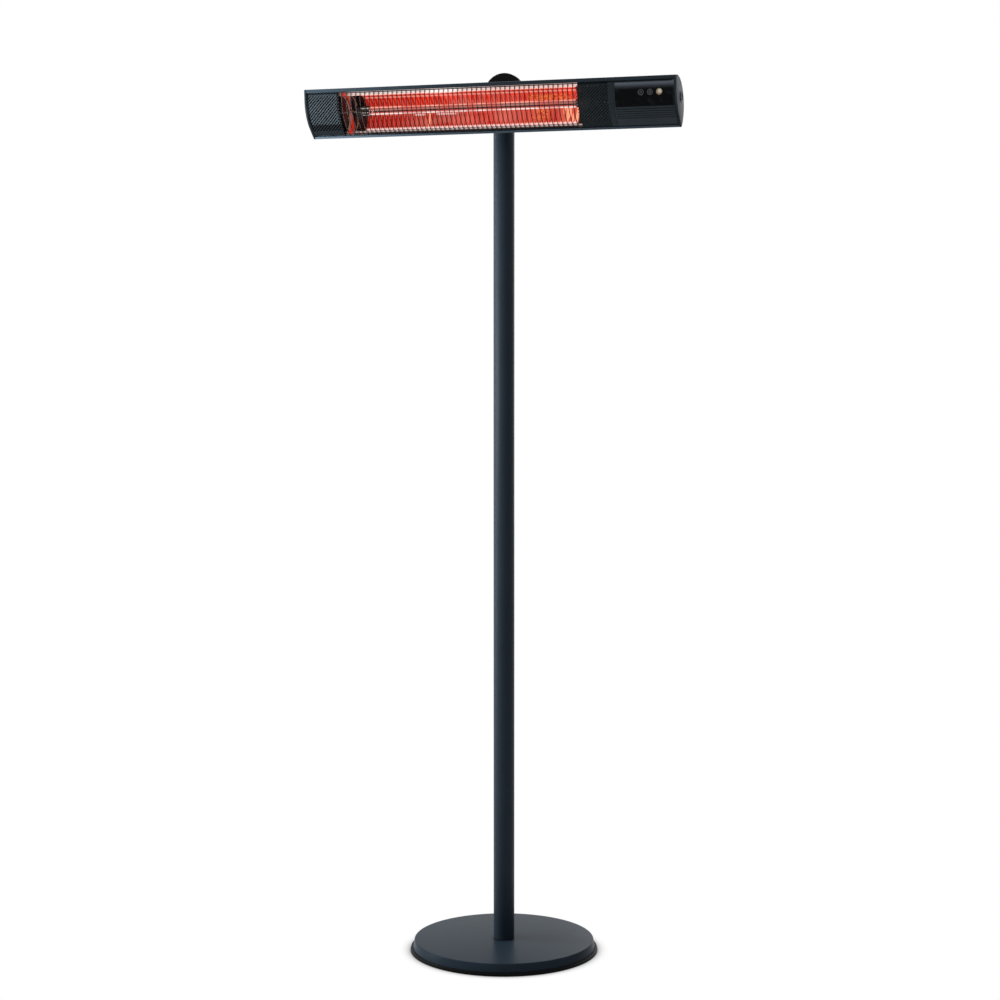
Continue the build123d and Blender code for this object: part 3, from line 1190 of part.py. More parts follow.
with BuildPart() as control_cover:
    with BuildSketch(head_section(CONTROL_LEFT)):
        add(cover_skin)
        add(cover_lower)
        add(cover_upper)
    extrude(amount=CONTROL_WIDTH)
    for x in (CONTROL_LEFT, CONTROL_RIGHT - GLASS_MARGIN):
        with BuildSketch(head_section(x)):
            add(cover_side)
        extrude(amount=GLASS_MARGIN)
    with BuildSketch(head_section(CONTROL_LEFT + GLASS_MARGIN)):
        with Locations(*GROOVES):
            RectangleRounded(2 * RIB_GROOVE_DEPTH, RIB_GROOVE, RIB_GROOVE / 4)
    extrude(amount=CONTROL_WIDTH - 2 * GLASS_MARGIN, mode=Mode.SUBTRACT)
    for height in (BOARD_TOP - STANDOFF_INSET, BOARD_BOTTOM + STANDOFF_INSET):
        with BuildSketch(key_plane(BOARD_DEPTH, BOARD_X)):
            with Locations((0, height)):
                with GridLocations(BOARD_WIDTH - 2 * STANDOFF_INSET, 0, 2, 1):
                    Circle(STANDOFF_DIAMETER / 2)
        extrude(amount=BOARD_DEPTH - (COVER_FRONT + PANEL_FOOT) / 2 - bulge(height))
    with BuildSketch(key_plane(BOARD_DEPTH, BOARD_X)):
        with Locations((0, BOARD_MIDDLE)):
            with GridLocations(BOARD_WIDTH - 2 * STANDOFF_INSET, BOARD_HEIGHT - 2 * STANDOFF_INSET, 2, 2):
                Circle(BOARD_SCREW_DIAMETER / 2 + SLIP)
    extrude(amount=BOARD_SCREW_LENGTH - BOARD_THICKNESS, mode=Mode.SUBTRACT)
    with BuildSketch(key_plane(BOARD_DEPTH)):
        with Locations(*KEY_PLACES):
            Circle(KEY_HOLE_RADIUS)
    extrude(amount=2 * BOARD_DEPTH, mode=Mode.SUBTRACT)
save(control_cover, "control_cover")

with BuildPart() as control_glass:
    with BuildSketch(head_section(CONTROL_LEFT + GLASS_MARGIN + SEAT_GAP)):
        add(glass_band)
    extrude(amount=CONTROL_WIDTH - 2 * GLASS_MARGIN - 2 * SEAT_GAP)
    with BuildSketch(key_plane(BOARD_DEPTH)):
        with Locations(*KEY_PLACES):
            Circle(KEY_HOLE_RADIUS)
    extrude(amount=2 * BOARD_DEPTH, mode=Mode.SUBTRACT)
save(control_glass, "control_glass")


def key_body(index):
    """Round key with a flange behind the cover and a stem towards its small switch."""
    x = KEY_X + index * KEY_PITCH
    with BuildPart() as key:
        with BuildSketch(key_plane(-KEY_PROUD, x)):
            Circle(KEY_DIAMETER / 2)
        extrude(amount=-KEY_PROUD - FLANGE_DEPTH)
        with BuildSketch(key_plane(FLANGE_DEPTH, x)):
            Circle(KEY_FLANGE_DIAMETER / 2)
        extrude(amount=-KEY_FLANGE)
        with BuildSketch(key_plane(FLANGE_DEPTH, x)):
            Circle(KEY_STEM / 2)
        extrude(amount=FLANGE_DEPTH - STEM_END)
    return key.part


with BuildPart() as power_key:
    add(key_body(0))
save(power_key, "power_key")

with BuildPart() as mode_key:
    add(key_body(1))
save(mode_key, "mode_key")

RECEIVER_X = KEY_X + 2 * KEY_PITCH

with BuildPart() as receiver_lens:
    with BuildSketch(key_plane(-LENS_DOME, RECEIVER_X)):
        Circle(KEY_DIAMETER / 2)
    extrude(amount=-LENS_DOME - FLANGE_DEPTH)
    with BuildSketch(key_plane(FLANGE_DEPTH, RECEIVER_X)):
        Circle(KEY_FLANGE_DIAMETER / 2)
    extrude(amount=-KEY_FLANGE)
save(receiver_lens, "receiver_lens")

with BuildPart() as receiver_module:
    with BuildSketch(key_plane(BOARD_DEPTH, RECEIVER_X)):
        Rectangle(RECEIVER_SIZE, RECEIVER_SIZE)
    extrude(amount=BOARD_DEPTH - FLANGE_DEPTH - KEY_FLANGE)
save(receiver_module, "receiver_module")

with BuildPart() as circuit_board:
    with BuildSketch(key_plane(BOARD_DEPTH, BOARD_X)):
        with Locations((0, BOARD_MIDDLE)):
            Rectangle(BOARD_WIDTH, BOARD_HEIGHT)
            with GridLocations(BOARD_WIDTH - 2 * STANDOFF_INSET, BOARD_HEIGHT - 2 * STANDOFF_INSET, 2, 2):
                Circle(BOARD_HOLE / 2, mode=Mode.SUBTRACT)
    extrude(amount=-BOARD_THICKNESS)
save(circuit_board, "circuit_board")

with BuildPart() as board_screws:
    with BuildSketch(key_plane(BOARD_DEPTH + BOARD_THICKNESS, BOARD_X)):
        with Locations((0, BOARD_MIDDLE)):
            with GridLocations(BOARD_WIDTH - 2 * STANDOFF_INSET, BOARD_HEIGHT - 2 * STANDOFF_INSET, 2, 2):
                Circle(BOARD_SCREW_HEAD_DIAMETER / 2)
    extrude(amount=-BOARD_SCREW_HEAD)
    with BuildSketch(key_plane(BOARD_DEPTH + BOARD_THICKNESS, BOARD_X)):
        with Locations((0, BOARD_MIDDLE)):
            with GridLocations(BOARD_WIDTH - 2 * STANDOFF_INSET, BOARD_HEIGHT - 2 * STANDOFF_INSET, 2, 2):
                Circle(BOARD_SCREW_DIAMETER / 2)
    extrude(amount=BOARD_SCREW_LENGTH)
save(board_screws, "board_screws")

with BuildPart() as tact_switches:
    with BuildSketch(key_plane(BOARD_DEPTH)):
        with Locations(*KEY_PLACES[:2]):
            Rectangle(TACT_SIZE, TACT_SIZE)
    extrude(amount=TACT_HEIGHT)
save(tact_switches, "tact_switches")

with BuildPart() as relay:
    with BuildSketch(key_plane(BOARD_DEPTH + BOARD_THICKNESS, BOARD_X - RELAY_SHIFT)):
        Rectangle(RELAY_LENGTH, RELAY_WIDTH)
    extrude(amount=-RELAY_HEIGHT)
save(relay, "relay")

CONTROL_LEAD_X = TERMINAL_X + TERMINAL_LENGTH - CONTROL_LEAD_INSET

with BuildPart() as control_leads:
    with BuildSketch(key_plane(BOARD_DEPTH + BOARD_THICKNESS, CONTROL_LEAD_X)):
        with Locations((0, CONTROL_LEAD_ROW)):
            with GridLocations(0, CONTROL_LEAD_PITCH, 1, CONTROL_LEAD_COUNT):
                Circle(CONTROL_LEAD / 2)
    extrude(amount=-2 * BOARD_DEPTH)
    split(bisect_by=head_front(TERMINAL_FRONT), keep=Keep.TOP)
save(control_leads, "control_leads")

# ======================================================================================
# Mains switch in the right end cap and cable entry in the back
# ======================================================================================
BEZEL_FRONT = HEAD_RIGHT + BEZEL_PROUD
SWITCH_FRONT = HEAD_RIGHT + SWITCH_PROUD
ROCKER_X = BEZEL_FRONT - ROCKER_AXIS_DEPTH
POCKET_HALF = ROCKER_LENGTH / 2 + ROCKER_SWING

with BuildPart() as switch_bezel:
    with BuildSketch(head_section(HEAD_RIGHT)):
        with Locations((SWITCH_DEPTH, 0)):
            Circle(BEZEL_DIAMETER / 2)
            Circle(SWITCH_DIAMETER / 2 + SLIP, mode=Mode.SUBTRACT)
    extrude(amount=BEZEL_PROUD)
    fillet(switch_bezel.edges().group_by(Axis.X)[-1].sort_by(SortBy.LENGTH)[-1:], radius=BEZEL_ROUND)
save(switch_bezel, "switch_bezel")

with BuildPart() as switch_body:
    with BuildSketch(head_section(SWITCH_FRONT)):
        with Locations((SWITCH_DEPTH, 0)):
            Circle(SWITCH_DIAMETER / 2)
    extrude(amount=-SWITCH_LENGTH)
    with BuildSketch(head_section(SWITCH_FRONT)):
        with Locations((SWITCH_DEPTH, 0)):
            Rectangle(ROCKER_WIDTH + 2 * ROCKER_SIDE, 2 * POCKET_HALF)
    extrude(amount=ROCKER_X - ROCKER_ROOM - SWITCH_FRONT, mode=Mode.SUBTRACT)
    with BuildSketch(head_front(SWITCH_DEPTH)):
        with Locations((ROCKER_X, 0)):
            Circle(ROCKER_PIN / 2 + RUNNING)
    extrude(amount=ROCKER_PIN_LENGTH / 2 + SLIP, both=True, mode=Mode.SUBTRACT)
save(switch_body, "switch_body")

with BuildPart() as mains_rocker:
    with BuildSketch(head_front(SWITCH_DEPTH)):
        with Locations(Location((ROCKER_X, 0), ROCKER_TILT)):
            Polygon(
                (-ROCKER_THICKNESS / 2, -ROCKER_LENGTH / 2),
                (ROCKER_THICKNESS / 2, -ROCKER_LENGTH / 2),
                (ROCKER_THICKNESS / 2 - ROCKER_DIP, 0),
                (ROCKER_THICKNESS / 2, ROCKER_LENGTH / 2),
                (-ROCKER_THICKNESS / 2, ROCKER_LENGTH / 2),
                align=None,
            )
    extrude(amount=ROCKER_WIDTH / 2, both=True)
    with BuildSketch(head_front(SWITCH_DEPTH)):
        with Locations((ROCKER_X, 0)):
            Circle(ROCKER_PIN / 2)
    extrude(amount=ROCKER_PIN_LENGTH / 2, both=True)
save(mains_rocker, "mains_rocker")

MAINS_LEAD_START = TERMINAL_X + TERMINAL_LENGTH

with BuildPart() as mains_leads:
    with BuildSketch(head_section(MAINS_LEAD_START)):
        with Locations((SWITCH_DEPTH, 0)):
            with GridLocations(0, MAINS_LEAD_SPACING, 1, 2):
                Circle(MAINS_LEAD / 2)
    extrude(amount=SWITCH_FRONT - SWITCH_LENGTH - MAINS_LEAD_START)
save(mains_leads, "mains_leads")

GLAND_SEAT = BACK_RADIUS + RUNNING
GLAND_CORNER = GLAND_FLATS / 2 / cos(pi / 6)
GLAND_NUT_SEAT = ((BACK_RADIUS - HOUSING_WALL) ** 2 - GLAND_CORNER**2) ** 0.5 - SLIP
GLAND_INNER_END = GLAND_NUT_SEAT - GLAND_INNER_LENGTH
GLAND_AXIS = Axis(gland_plane(0).origin, gland_plane(0).z_dir)

with BuildPart() as cable_gland:
    with BuildSketch(gland_plane(GLAND_SEAT + GLAND_HEX)):
        Circle(GLAND_DOME / 2)
    extrude(amount=GLAND_DOME_LENGTH)
    fillet(cable_gland.edges().sort_by(GLAND_AXIS)[-1:], radius=GLAND_DOME_ROUND)
    with BuildSketch(gland_plane(GLAND_SEAT)):
        RegularPolygon(GLAND_FLATS / 2, 6, major_radius=False)
    extrude(amount=GLAND_HEX)
    with BuildSketch(gland_plane(GLAND_SEAT)):
        Circle(GLAND_THREAD / 2)
    extrude(amount=GLAND_INNER_END - GLAND_SEAT)
    with BuildSketch(gland_plane(GLAND_INNER_END)):
        Circle(GLAND_BORE / 2)
    extrude(amount=GLAND_SEAT + GLAND_HEX + GLAND_DOME_LENGTH - GLAND_INNER_END, mode=Mode.SUBTRACT)
save(cable_gland, "cable_gland")

with BuildPart() as gland_nut:
    with BuildSketch(gland_plane(GLAND_NUT_SEAT)):
        RegularPolygon(GLAND_FLATS / 2, 6, major_radius=False)
        Circle(GLAND_THREAD / 2 + SLIP, mode=Mode.SUBTRACT)
    extrude(amount=-GLAND_NUT)
save(gland_nut, "gland_nut")
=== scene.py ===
"""Looks of a free-standing infrared patio heater, built around its packed CAD frame."""
import json
from math import asin, atan2, cos, pi, radians, sin, sqrt, tan

import bmesh
import bpy
from bpy.props import FloatProperty, FloatVectorProperty, IntProperty, PointerProperty
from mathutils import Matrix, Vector


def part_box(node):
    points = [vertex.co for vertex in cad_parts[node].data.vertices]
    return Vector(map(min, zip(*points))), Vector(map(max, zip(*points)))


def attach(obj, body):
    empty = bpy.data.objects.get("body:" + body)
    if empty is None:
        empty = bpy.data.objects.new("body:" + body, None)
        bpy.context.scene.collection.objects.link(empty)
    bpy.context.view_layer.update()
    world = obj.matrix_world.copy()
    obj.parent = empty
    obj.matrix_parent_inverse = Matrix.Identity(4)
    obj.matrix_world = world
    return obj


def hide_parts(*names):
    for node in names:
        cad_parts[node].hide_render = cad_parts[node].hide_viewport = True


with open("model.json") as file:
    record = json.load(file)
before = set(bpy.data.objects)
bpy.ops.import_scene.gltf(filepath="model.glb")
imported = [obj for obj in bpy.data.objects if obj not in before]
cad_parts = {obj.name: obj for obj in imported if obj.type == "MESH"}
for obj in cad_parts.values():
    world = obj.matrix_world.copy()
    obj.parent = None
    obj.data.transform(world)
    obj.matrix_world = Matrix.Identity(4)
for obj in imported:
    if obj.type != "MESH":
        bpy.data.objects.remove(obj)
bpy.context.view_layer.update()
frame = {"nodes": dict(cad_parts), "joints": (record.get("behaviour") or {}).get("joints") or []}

bl_info = {
    "name": "Infrared Patio Heater",
    "version": (1, 0, 0),
    "blender": (4, 5, 0),
    "location": "View3D > Sidebar > Heater",
    "description": "Dresses the CAD frame of a free-standing infrared heater with modelled pieces and finishes",
    "category": "Object",
}

JOINTS = {joint["name"]: joint for joint in frame["joints"]}
HEAD_PIVOT = Vector(JOINTS["head_tilt"]["pos_m"])
UP_THE_CHORD = Vector(JOINTS["mains_rocker_tilt"]["axis"]).normalized()
TILT = atan2(UP_THE_CHORD.z, UP_THE_CHORD.y)


def length(name, millimetres, description):
    """A size property given in millimetres and kept in metres."""
    return FloatProperty(
        name=name, description=description, default=millimetres / 1000, precision=5, unit="LENGTH"
    )


def number(name, value, description, **limits):
    """A plain number property."""
    return FloatProperty(name=name, description=description, default=value, **limits)


def angle(name, in_degrees, description):
    """An angle property given in degrees."""
    return FloatProperty(name=name, description=description, default=radians(in_degrees), subtype="ANGLE")


def colour(name, red, green, blue, description):
    """A colour property given as the 0 to 255 values of a screen colour."""
    return FloatVectorProperty(
        name=name, description=description, size=3, min=0, max=1, subtype="COLOR",
        default=[linear(value / 255) for value in (red, green, blue)],
    )


def linear(value):
    """Linear light of one screen colour value between 0 and 1."""
    return value / 12.92 if value <= 0.04045 else ((value + 0.055) / 1.055) ** 2.4


# ---- Sizes and colours that a user can change ----
class HeaterBaseSizes(bpy.types.PropertyGroup):
    """Sizes of the round base and the pole."""

    top_radius: length("Top radius", 216, "Radius of the cover's flat top")
    foot_radius: length("Foot radius", 220, "Radius of the cover's skirt at its foot")
    foot_height: length("Foot height", 7.5, "Height of the skirt's foot above the floor")
    height: length("Height", 27, "Height of the base")
    sheet: length("Sheet", 2, "Thickness of the pressed cover")
    edge: length("Edge radius", 2.5, "Radius of the cover's upper edge")
    ring_radius: length("Ring radius", 225, "Outer radius of the rubber rim ring")
    ring_reach: length("Ring reach", 12, "Radial width of the rubber rim ring")
    ring_round: length("Ring edge", 1.4, "Radius of the rim ring's outer edges")
    bolt_hole: length("Bolt hole", 6.1, "Radius of the hole under the pole")
    screw_circle: length("Screw circle", 190, "Radius of the circle of screws under the base")
    screw_face: length("Screw face", 3.05, "Height of the base screws' faces above the floor")
    pole_radius: length("Pole radius", 25, "Outer radius of the pole")
    pole_wall: length("Pole wall", 1.5, "Wall of the pole")
    pole_top: length("Pole top", 1999, "Height of the pole's upper end")


class HeaterDiscSizes(bpy.types.PropertyGroup):
    """Sizes of the round plate cover on the pole."""

    radius: length("Radius", 49, "Radius of the round cover")
    front: length("Front", -2.5, "World Y of the cover's front rim")
    back: length("Back", 16, "World Y of the cover's back face")
    centre: length("Centre height", 2051, "Height of the cover's centre")
    wall: length("Wall", 2, "Wall of the cover")
    edge: length("Edge radius", 4, "Radius of the cover's back edge")


class HeaterHeadSizes(bpy.types.PropertyGroup):
    """Section and length of the tilting head."""

    pivot_depth: length("Pivot depth", 70, "Hinge axis behind the chord")
    half_chord: length("Half chord", 62.5, "Half the distance from the top lip to the bottom lip")
    upper: angle("Upper face", 24, "Upper front face against the chord")
    lower: angle("Lower face", 21, "Lower front face against the chord")
    bend: length("Bend radius", 90, "Radius of the bend in the front")
    back_depth: length("Back depth", 50, "Chord to the rounded back")
    corner: length("Corner radius", 1.5, "Radius of the upper and lower corner")
    wall: length("Wall", 2, "Wall of the housing")
    opening: length("Opening", 55.5, "Chord middle to the edge of the front opening")
    ledge: length("Ledge edge", 45.5, "Chord middle to the edge of the inner ledge")
    seat: length("Seat depth", 4.5, "Skin to the ledge")
    ledge_back: length("Ledge back", 6.3, "Skin to the back of the ledge")
    front_half: length("Front half", 52.5, "Chord middle to the edge of the front pieces")
    foot: length("Foot depth", 4.3, "Skin to the turned edges of the front pieces")
    left: length("Left end", -451, "World X of the left cap's outer face")
    right: length("Right end", 449, "World X of the right cap's outer face")
    cap: length("Cap thickness", 4, "Thickness of an end cap")
    cap_edge: length("Cap edge radius", 1.2, "Radius of an end cap's outer edge")
    gasket: length("Gasket", 1, "Thickness of the seal under an end cap")
    rail_back: length("Rail back", 52, "Chord to the face of the rear rail")
    rail_floor: length("Rail floor", 42, "Chord to the floor of the rear rail")
    rail_half: length("Rail half width", 15, "Half the height of the rear rail")
    slot_half: length("Slot half width", 4, "Half the width of the rail's slot")
    slot_lip: length("Slot lip", 3, "Thickness of the lips beside the slot")
    cavity_half: length("Cavity half width", 7.5, "Half the width of the slot's cavity")
    cavity_depth: length("Cavity depth", 4.5, "Depth of the slot's cavity")
    port_inner_depth: length("Inner port depth", 40.5, "Depth of the inner cap screws")
    port_inner_height: length("Inner port height", 22, "Height of the inner cap screws")
    port_outer_depth: length("Outer port depth", 17.5, "Depth of the outer cap screws")
    port_outer_height: length("Outer port height", 50.5, "Height of the outer cap screws")


class HeaterFrontSizes(bpy.types.PropertyGroup):
    """Widths and details of the front pieces."""

    left_start: length("Left panel start", -445.2, "World X of the left perforated panel's left edge")
    left_end: length("Left panel end", -367.2, "World X of the left perforated panel's right edge")
    window_left: length("Window left", -366.4, "World X of the window's left edge")
    window_right: length("Window right", 218.8, "World X of the window's right edge")
    right_start: length("Right panel start", 219.6, "World X of the right perforated panel's left edge")
    right_end: length("Right panel end", 289.6, "World X of the right perforated panel's right edge")
    divider_left: length("Divider left", 290.4, "World X of the divider's left edge")
    divider_right: length("Divider right", 302.4, "World X of the divider's right edge")
    inset: length("Mesh inset", 0.4, "Perforated sheet below the skin")
    sheet: length("Mesh sheet", 1.0, "Thickness of the perforated sheet")
    border: length("Border", 1, "Plain border beside and above the perforation")
    lower_band: length("Lower band", 14, "Plain band under the perforation")
    rim: length("Rim", 1.2, "Width of the raised rim beside the window")
    cell: length("Cell", 5.4, "Side of one diamond cell of the perforation")
    hole_length: number("Hole length", 0.9, "Hole length over cell side", max=0.95)
    hole_width: number("Hole width", 0.62, "Hole width over cell side", max=0.95)
    right_holes: number("Right holes", 0.8, "Size of the right field's holes over the left's", max=1)
    twist: length("Twist", 1.6, "How far a strand leans for one cell side across it")
    wire: length("Guard wire", 2.0, "Diameter of a guard wire")
    wire_pitch: length("Guard pitch", 11.5, "Spacing of the guard wires")
    rod: length("Guard rod", 2.4, "Diameter of the rods behind the guard wires")
    rod_height: length("Outer rods", 52, "Height of the two outer rods")
    middle_rod: length("Middle rod", 8, "Height of the middle rod")
    wire_reach: length("Wire reach", 54, "Height where the guard wires end")
    weld: length("Weld", 0.3, "How far the wires sink into the rods")


class HeaterLampSizes(bpy.types.PropertyGroup):
    """Sizes of the lamp and its reflector."""

    depth: length("Lamp depth", 12, "Lamp axis behind the chord")
    radius: length("Lamp radius", 10, "Outer radius of the lamp tube")
    glass: length("Glass", 1.5, "Wall of the lamp tube")
    filament: length("Filament radius", 3, "Radius of the heating coil")
    coil_wire: length("Coil wire", 0.9, "Diameter of the heating coil's strand")
    coil_pitch: length("Coil pitch", 6.5, "Spacing of the heating coil's turns")
    ceramic: length("Ceramic radius", 11.5, "Outer radius of the lamp's ceramic ends")
    ceramic_edge: length("Ceramic edge", 1.2, "Radius of the ceramic ends' edges")
    reflector_depth: length("Reflector depth", 34, "Chord to the reflector's deepest line")
    mouth: length("Reflector mouth", 44.5, "Half the height of the reflector's trough")
    flange: length("Flange height", 52, "Chord middle to the edge of the reflector's flanges")
    flange_inset: length("Flange inset", 6.5, "Skin to the reflector's flanges")
    sheet: length("Reflector sheet", 0.8, "Thickness of the reflector sheet")
    return_left: length("Left return", 21.8, "Reach of the polished return left of the lamp's end plate")
    trim_outer: length("Trim outer edge", 53.2, "Chord middle to the outer edge of the bright trim strips")
    trim_inner: length("Trim inner edge", 44.9, "Chord middle to the inner edge of the bright trim strips")
    trim_front: length("Trim front", 4.2, "Skin to the face of the bright trim strips")
    lit_left: length("Lit from", -313, "World X where the lamp's light begins")
    lit_right: length("Lit to", 207, "World X where the lamp's light ends")


class HeaterControlSizes(bpy.types.PropertyGroup):
    """Sizes of the keys, printed rings and mains switch."""

    key_x: length("First key", 367.2, "World X of the first key")
    key_pitch: length("Key pitch", 21.2, "Spacing of the keys")
    key_height: length("Key height", 30, "Height of the key row on the front")
    key_radius: length("Key radius", 7, "Radius of a key")
    key_proud: length("Key proud", 0.2, "Key face above the skin")
    key_back: length("Key back", 4.9, "Key flange below the skin")
    flange_radius: length("Flange radius", 8.5, "Radius of a key's flange")
    flange_sheet: length("Flange sheet", 1, "Thickness of a key's flange")
    stem_radius: length("Stem radius", 2.5, "Radius of a key's stem")
    stem_end: length("Stem end", 10.3, "Skin to the end of a key's stem")
    lens_dome: length("Lens dome", 0.6, "Height of the receiver lens above the skin")
    ink: length("Ink", 0.05, "Thickness of a printed mark")
    mark_ring: length("Printed ring", 5.7, "Inner radius of a key's printed ring")
    mark_line: length("Printed line", 0.7, "Width of a key's printed ring")
    glass_top: length("Glass top", 51, "Height of the glass panel's upper edge")
    sheen_foot: length("Sheen foot", 34, "Height where the sheen along the glass panel's top begins")
    groove_first: length("First groove", -10.1, "First cover groove, along the skin from the bend's middle")
    groove_pitch: length("Groove pitch", 6, "Spacing of the cover grooves")
    groove_width: length("Groove width", 2.2, "Width of a cover groove")
    groove_count: IntProperty(name="Grooves", description="Number of cover grooves", default=5, min=1)
    switch_depth: length("Switch depth", 27, "Mains switch axis behind the chord")
    bezel_radius: length("Bezel radius", 12.5, "Outer radius of the switch bezel")
    bezel_hole: length("Bezel hole", 10.1, "Radius of the opening in the bezel")
    bezel_proud: length("Bezel proud", 2, "Bezel above the end cap")
    lip_wall: length("Lip wall", 1.2, "Wall of the clear lip round the switch")
    rocker_x: length("Rocker axis", 446, "World X of the rocker's axis")
    rocker_width: length("Rocker width", 10, "Width of the rocker")
    rocker_length: length("Rocker length", 13.6, "Length of the rocker")
    rocker_thickness: length("Rocker thickness", 7, "Thickness of the rocker")
    rocker_tilt: angle("Rocker tilt", 9, "Tilt of the rocker at rest")
    rocker_dip: length("Rocker dip", 1, "Hollow in the middle of the rocker")


class HeaterFinishes(bpy.types.PropertyGroup):
    """Colours of the finishes."""

    coat: colour("Powder coat", 47, 59, 70, "Anthracite powder coat of base and pole")
    base: colour("Base coat", 46, 58, 69, "Powder coat of the base")
    housing: colour("Housing coat", 44, 54, 62, "Powder coat of the housing")
    # painted light: a paler copy of the housing coat towards the left end
    housing_left: colour("Housing coat, left, painted light", 76, 92, 104, "Powder coat of the housing towards its left end")
    cap: colour("Cap coat", 62, 73, 82, "Powder coat of the end caps")
    panel: colour("Panel coat", 30, 36, 40, "Coat of the panels' plain borders")
    # painted light: a paler copy of the mesh coat for the left field
    left_mesh: colour("Left mesh, painted light", 98, 111, 119, "Light-catching strands of the left perforated panel")
    # painted shade: the left field's strands where it turns under
    mesh_foot: colour("Mesh foot, painted shade", 36, 43, 48, "Strands of the left panel where it turns under")
    # painted shade: a darker copy of the same coat for the right field
    right_mesh: colour("Right mesh, painted shade", 46, 53, 57, "Strands of the right perforated panel")
    plate: colour("Black coat", 14, 14, 15, "Black coat of the round plate and brackets")
    guard: colour("Guard coat", 22, 11, 11, "Heat-darkened coat of the wire guard")
    # painted light: a paler wire colour for the ends of the window
    guard_end: colour("Guard coat, ends, painted light", 88, 78, 74, "Paler wires beyond the lamp's ends")
    moulding: colour("Moulding", 42, 51, 57, "Moulded control cover")
    glass: colour("Panel glass", 6, 10, 11, "Black glass of the control panel")
    # painted reflection: the grey that the glass shows along its upper edge
    sheen: colour("Panel sheen, painted reflection", 112, 120, 131, "Satin sheen along the top of the panel glass")
    amber: colour("Receiver lens", 238, 200, 172, "Tinted receiver lens")
    ink: colour("Printed marks", 132, 140, 144, "Light ring and symbol on the first key")
    dim_ink: colour("Dim marks", 104, 110, 114, "Grey ring and symbol on the second key")
    key_disc: colour("Key disc", 46, 51, 55, "Grey printed disc on the second key")
    glow: colour("Glow", 194, 40, 24, "Red light in the reflector")
    deep_glow: colour("Deep glow", 134, 26, 18, "Darker red light low in the reflector")
    hot: colour("Hot rows", 255, 178, 160, "Bright rows at the reflector's edges")
    pale: colour("Pale trim", 226, 208, 202, "Light caught by the bright trim strips")
    side_glow: colour("Side glow", 206, 118, 62, "Orange light towards the lamp's right end")
    peach: colour("Peach glow", 250, 172, 132, "Pale orange light at the lamp's right end")


class HeaterStudioSettings(bpy.types.PropertyGroup):
    """Camera and light."""

    turn: angle("Camera turn", 17.733, "How far the camera stands to the right of the front")
    pitch: angle("Camera pitch", 3.347, "How far the camera looks down")
    distance: length("Camera distance", 4912.7, "Camera to the pole's axis")
    camera_height: length("Camera height", 1448, "Camera above the floor")
    lens: number("Lens", 74.15, "Focal length on a 36 mm sensor", min=1)
    shift_x: number("Shift X", -0.004, "Sideways shift of the picture")
    shift_y: number("Shift Y", -0.03, "Upright shift of the picture")
    key_power: number("Key light", 68, "Power of the soft light on the left")
    fill_power: number("Fill light", 14, "Power of the small light before the left end")
    top_power: number("Top light", 14, "Power of the soft light above")
    back_power: number("Back light", 26, "Power of the soft light behind")
    ambient: number("Ambient", 0.14, "Strength of the surrounding light")


# ---- Shader maths ----
class Signal:
    """One output of a shader tree that can be used in ordinary arithmetic."""

    def __init__(self, finish, socket):
        self.finish, self.socket = finish, socket

    def _math(self, operation, *values):
        return self.finish.node("ShaderNodeMath", {"operation": operation}, *values)

    def __add__(self, other):
        return self._math("ADD", self, other)

    __radd__ = __add__

    def __sub__(self, other):
        return self._math("SUBTRACT", self, other)

    def __rsub__(self, other):
        return self._math("SUBTRACT", other, self)

    def __mul__(self, other):
        return self._math("MULTIPLY", self, other)

    __rmul__ = __mul__

    def __abs__(self):
        return self._math("ABSOLUTE", self)

    def above(self, edge, softness):
        """0 below the edge and 1 above it, with a soft step."""
        return self.finish.node(
            "ShaderNodeMapRange", {"interpolation_type": "SMOOTHSTEP"},
            self, edge - softness / 2, edge + softness / 2,
        )

    def between(self, low, high, softness):
        """1 between two edges and 0 outside them."""
        return self.above(low, softness) * (1 - self.above(high, softness))

    def fold(self, length):
        """Zigzag that climbs from 0 to a length and back, over and over."""
        return self._math("PINGPONG", self, length)

    def most(self, other):
        """The larger of two values."""
        return self._math("MAXIMUM", self, other)


class ShaderTree:
    """A shader tree whose nodes are made and linked in one call."""

    def __init__(self, tree):
        self.nodes, self.links = tree.nodes, tree.links

    def node(self, kind, settings, *values, output=0, **named):
        """Adds a node, sets it up and fills its sockets in order or by name."""
        made = self.nodes.new(kind)
        stops = settings.pop("stops", None)
        for key, value in settings.items():
            setattr(made, key, value)
        if stops:
            ramp = made.color_ramp
            while len(ramp.elements) < len(stops):
                ramp.elements.new(0.5)
            for element, (position, tint) in zip(ramp.elements, stops):
                element.position = position
                element.color = (*tint, 1)
        named = [(key.replace("_", " "), value) for key, value in named.items()]
        for key, value in [*enumerate(values), *named]:
            self.fill(made.inputs[key], value)
        return Signal(self, made.outputs[output])

    def fill(self, socket, value):
        """Links a signal to a socket or sets its constant."""
        if isinstance(value, Signal):
            self.links.new(value.socket, socket)
        elif value is not None:
            socket.default_value = value


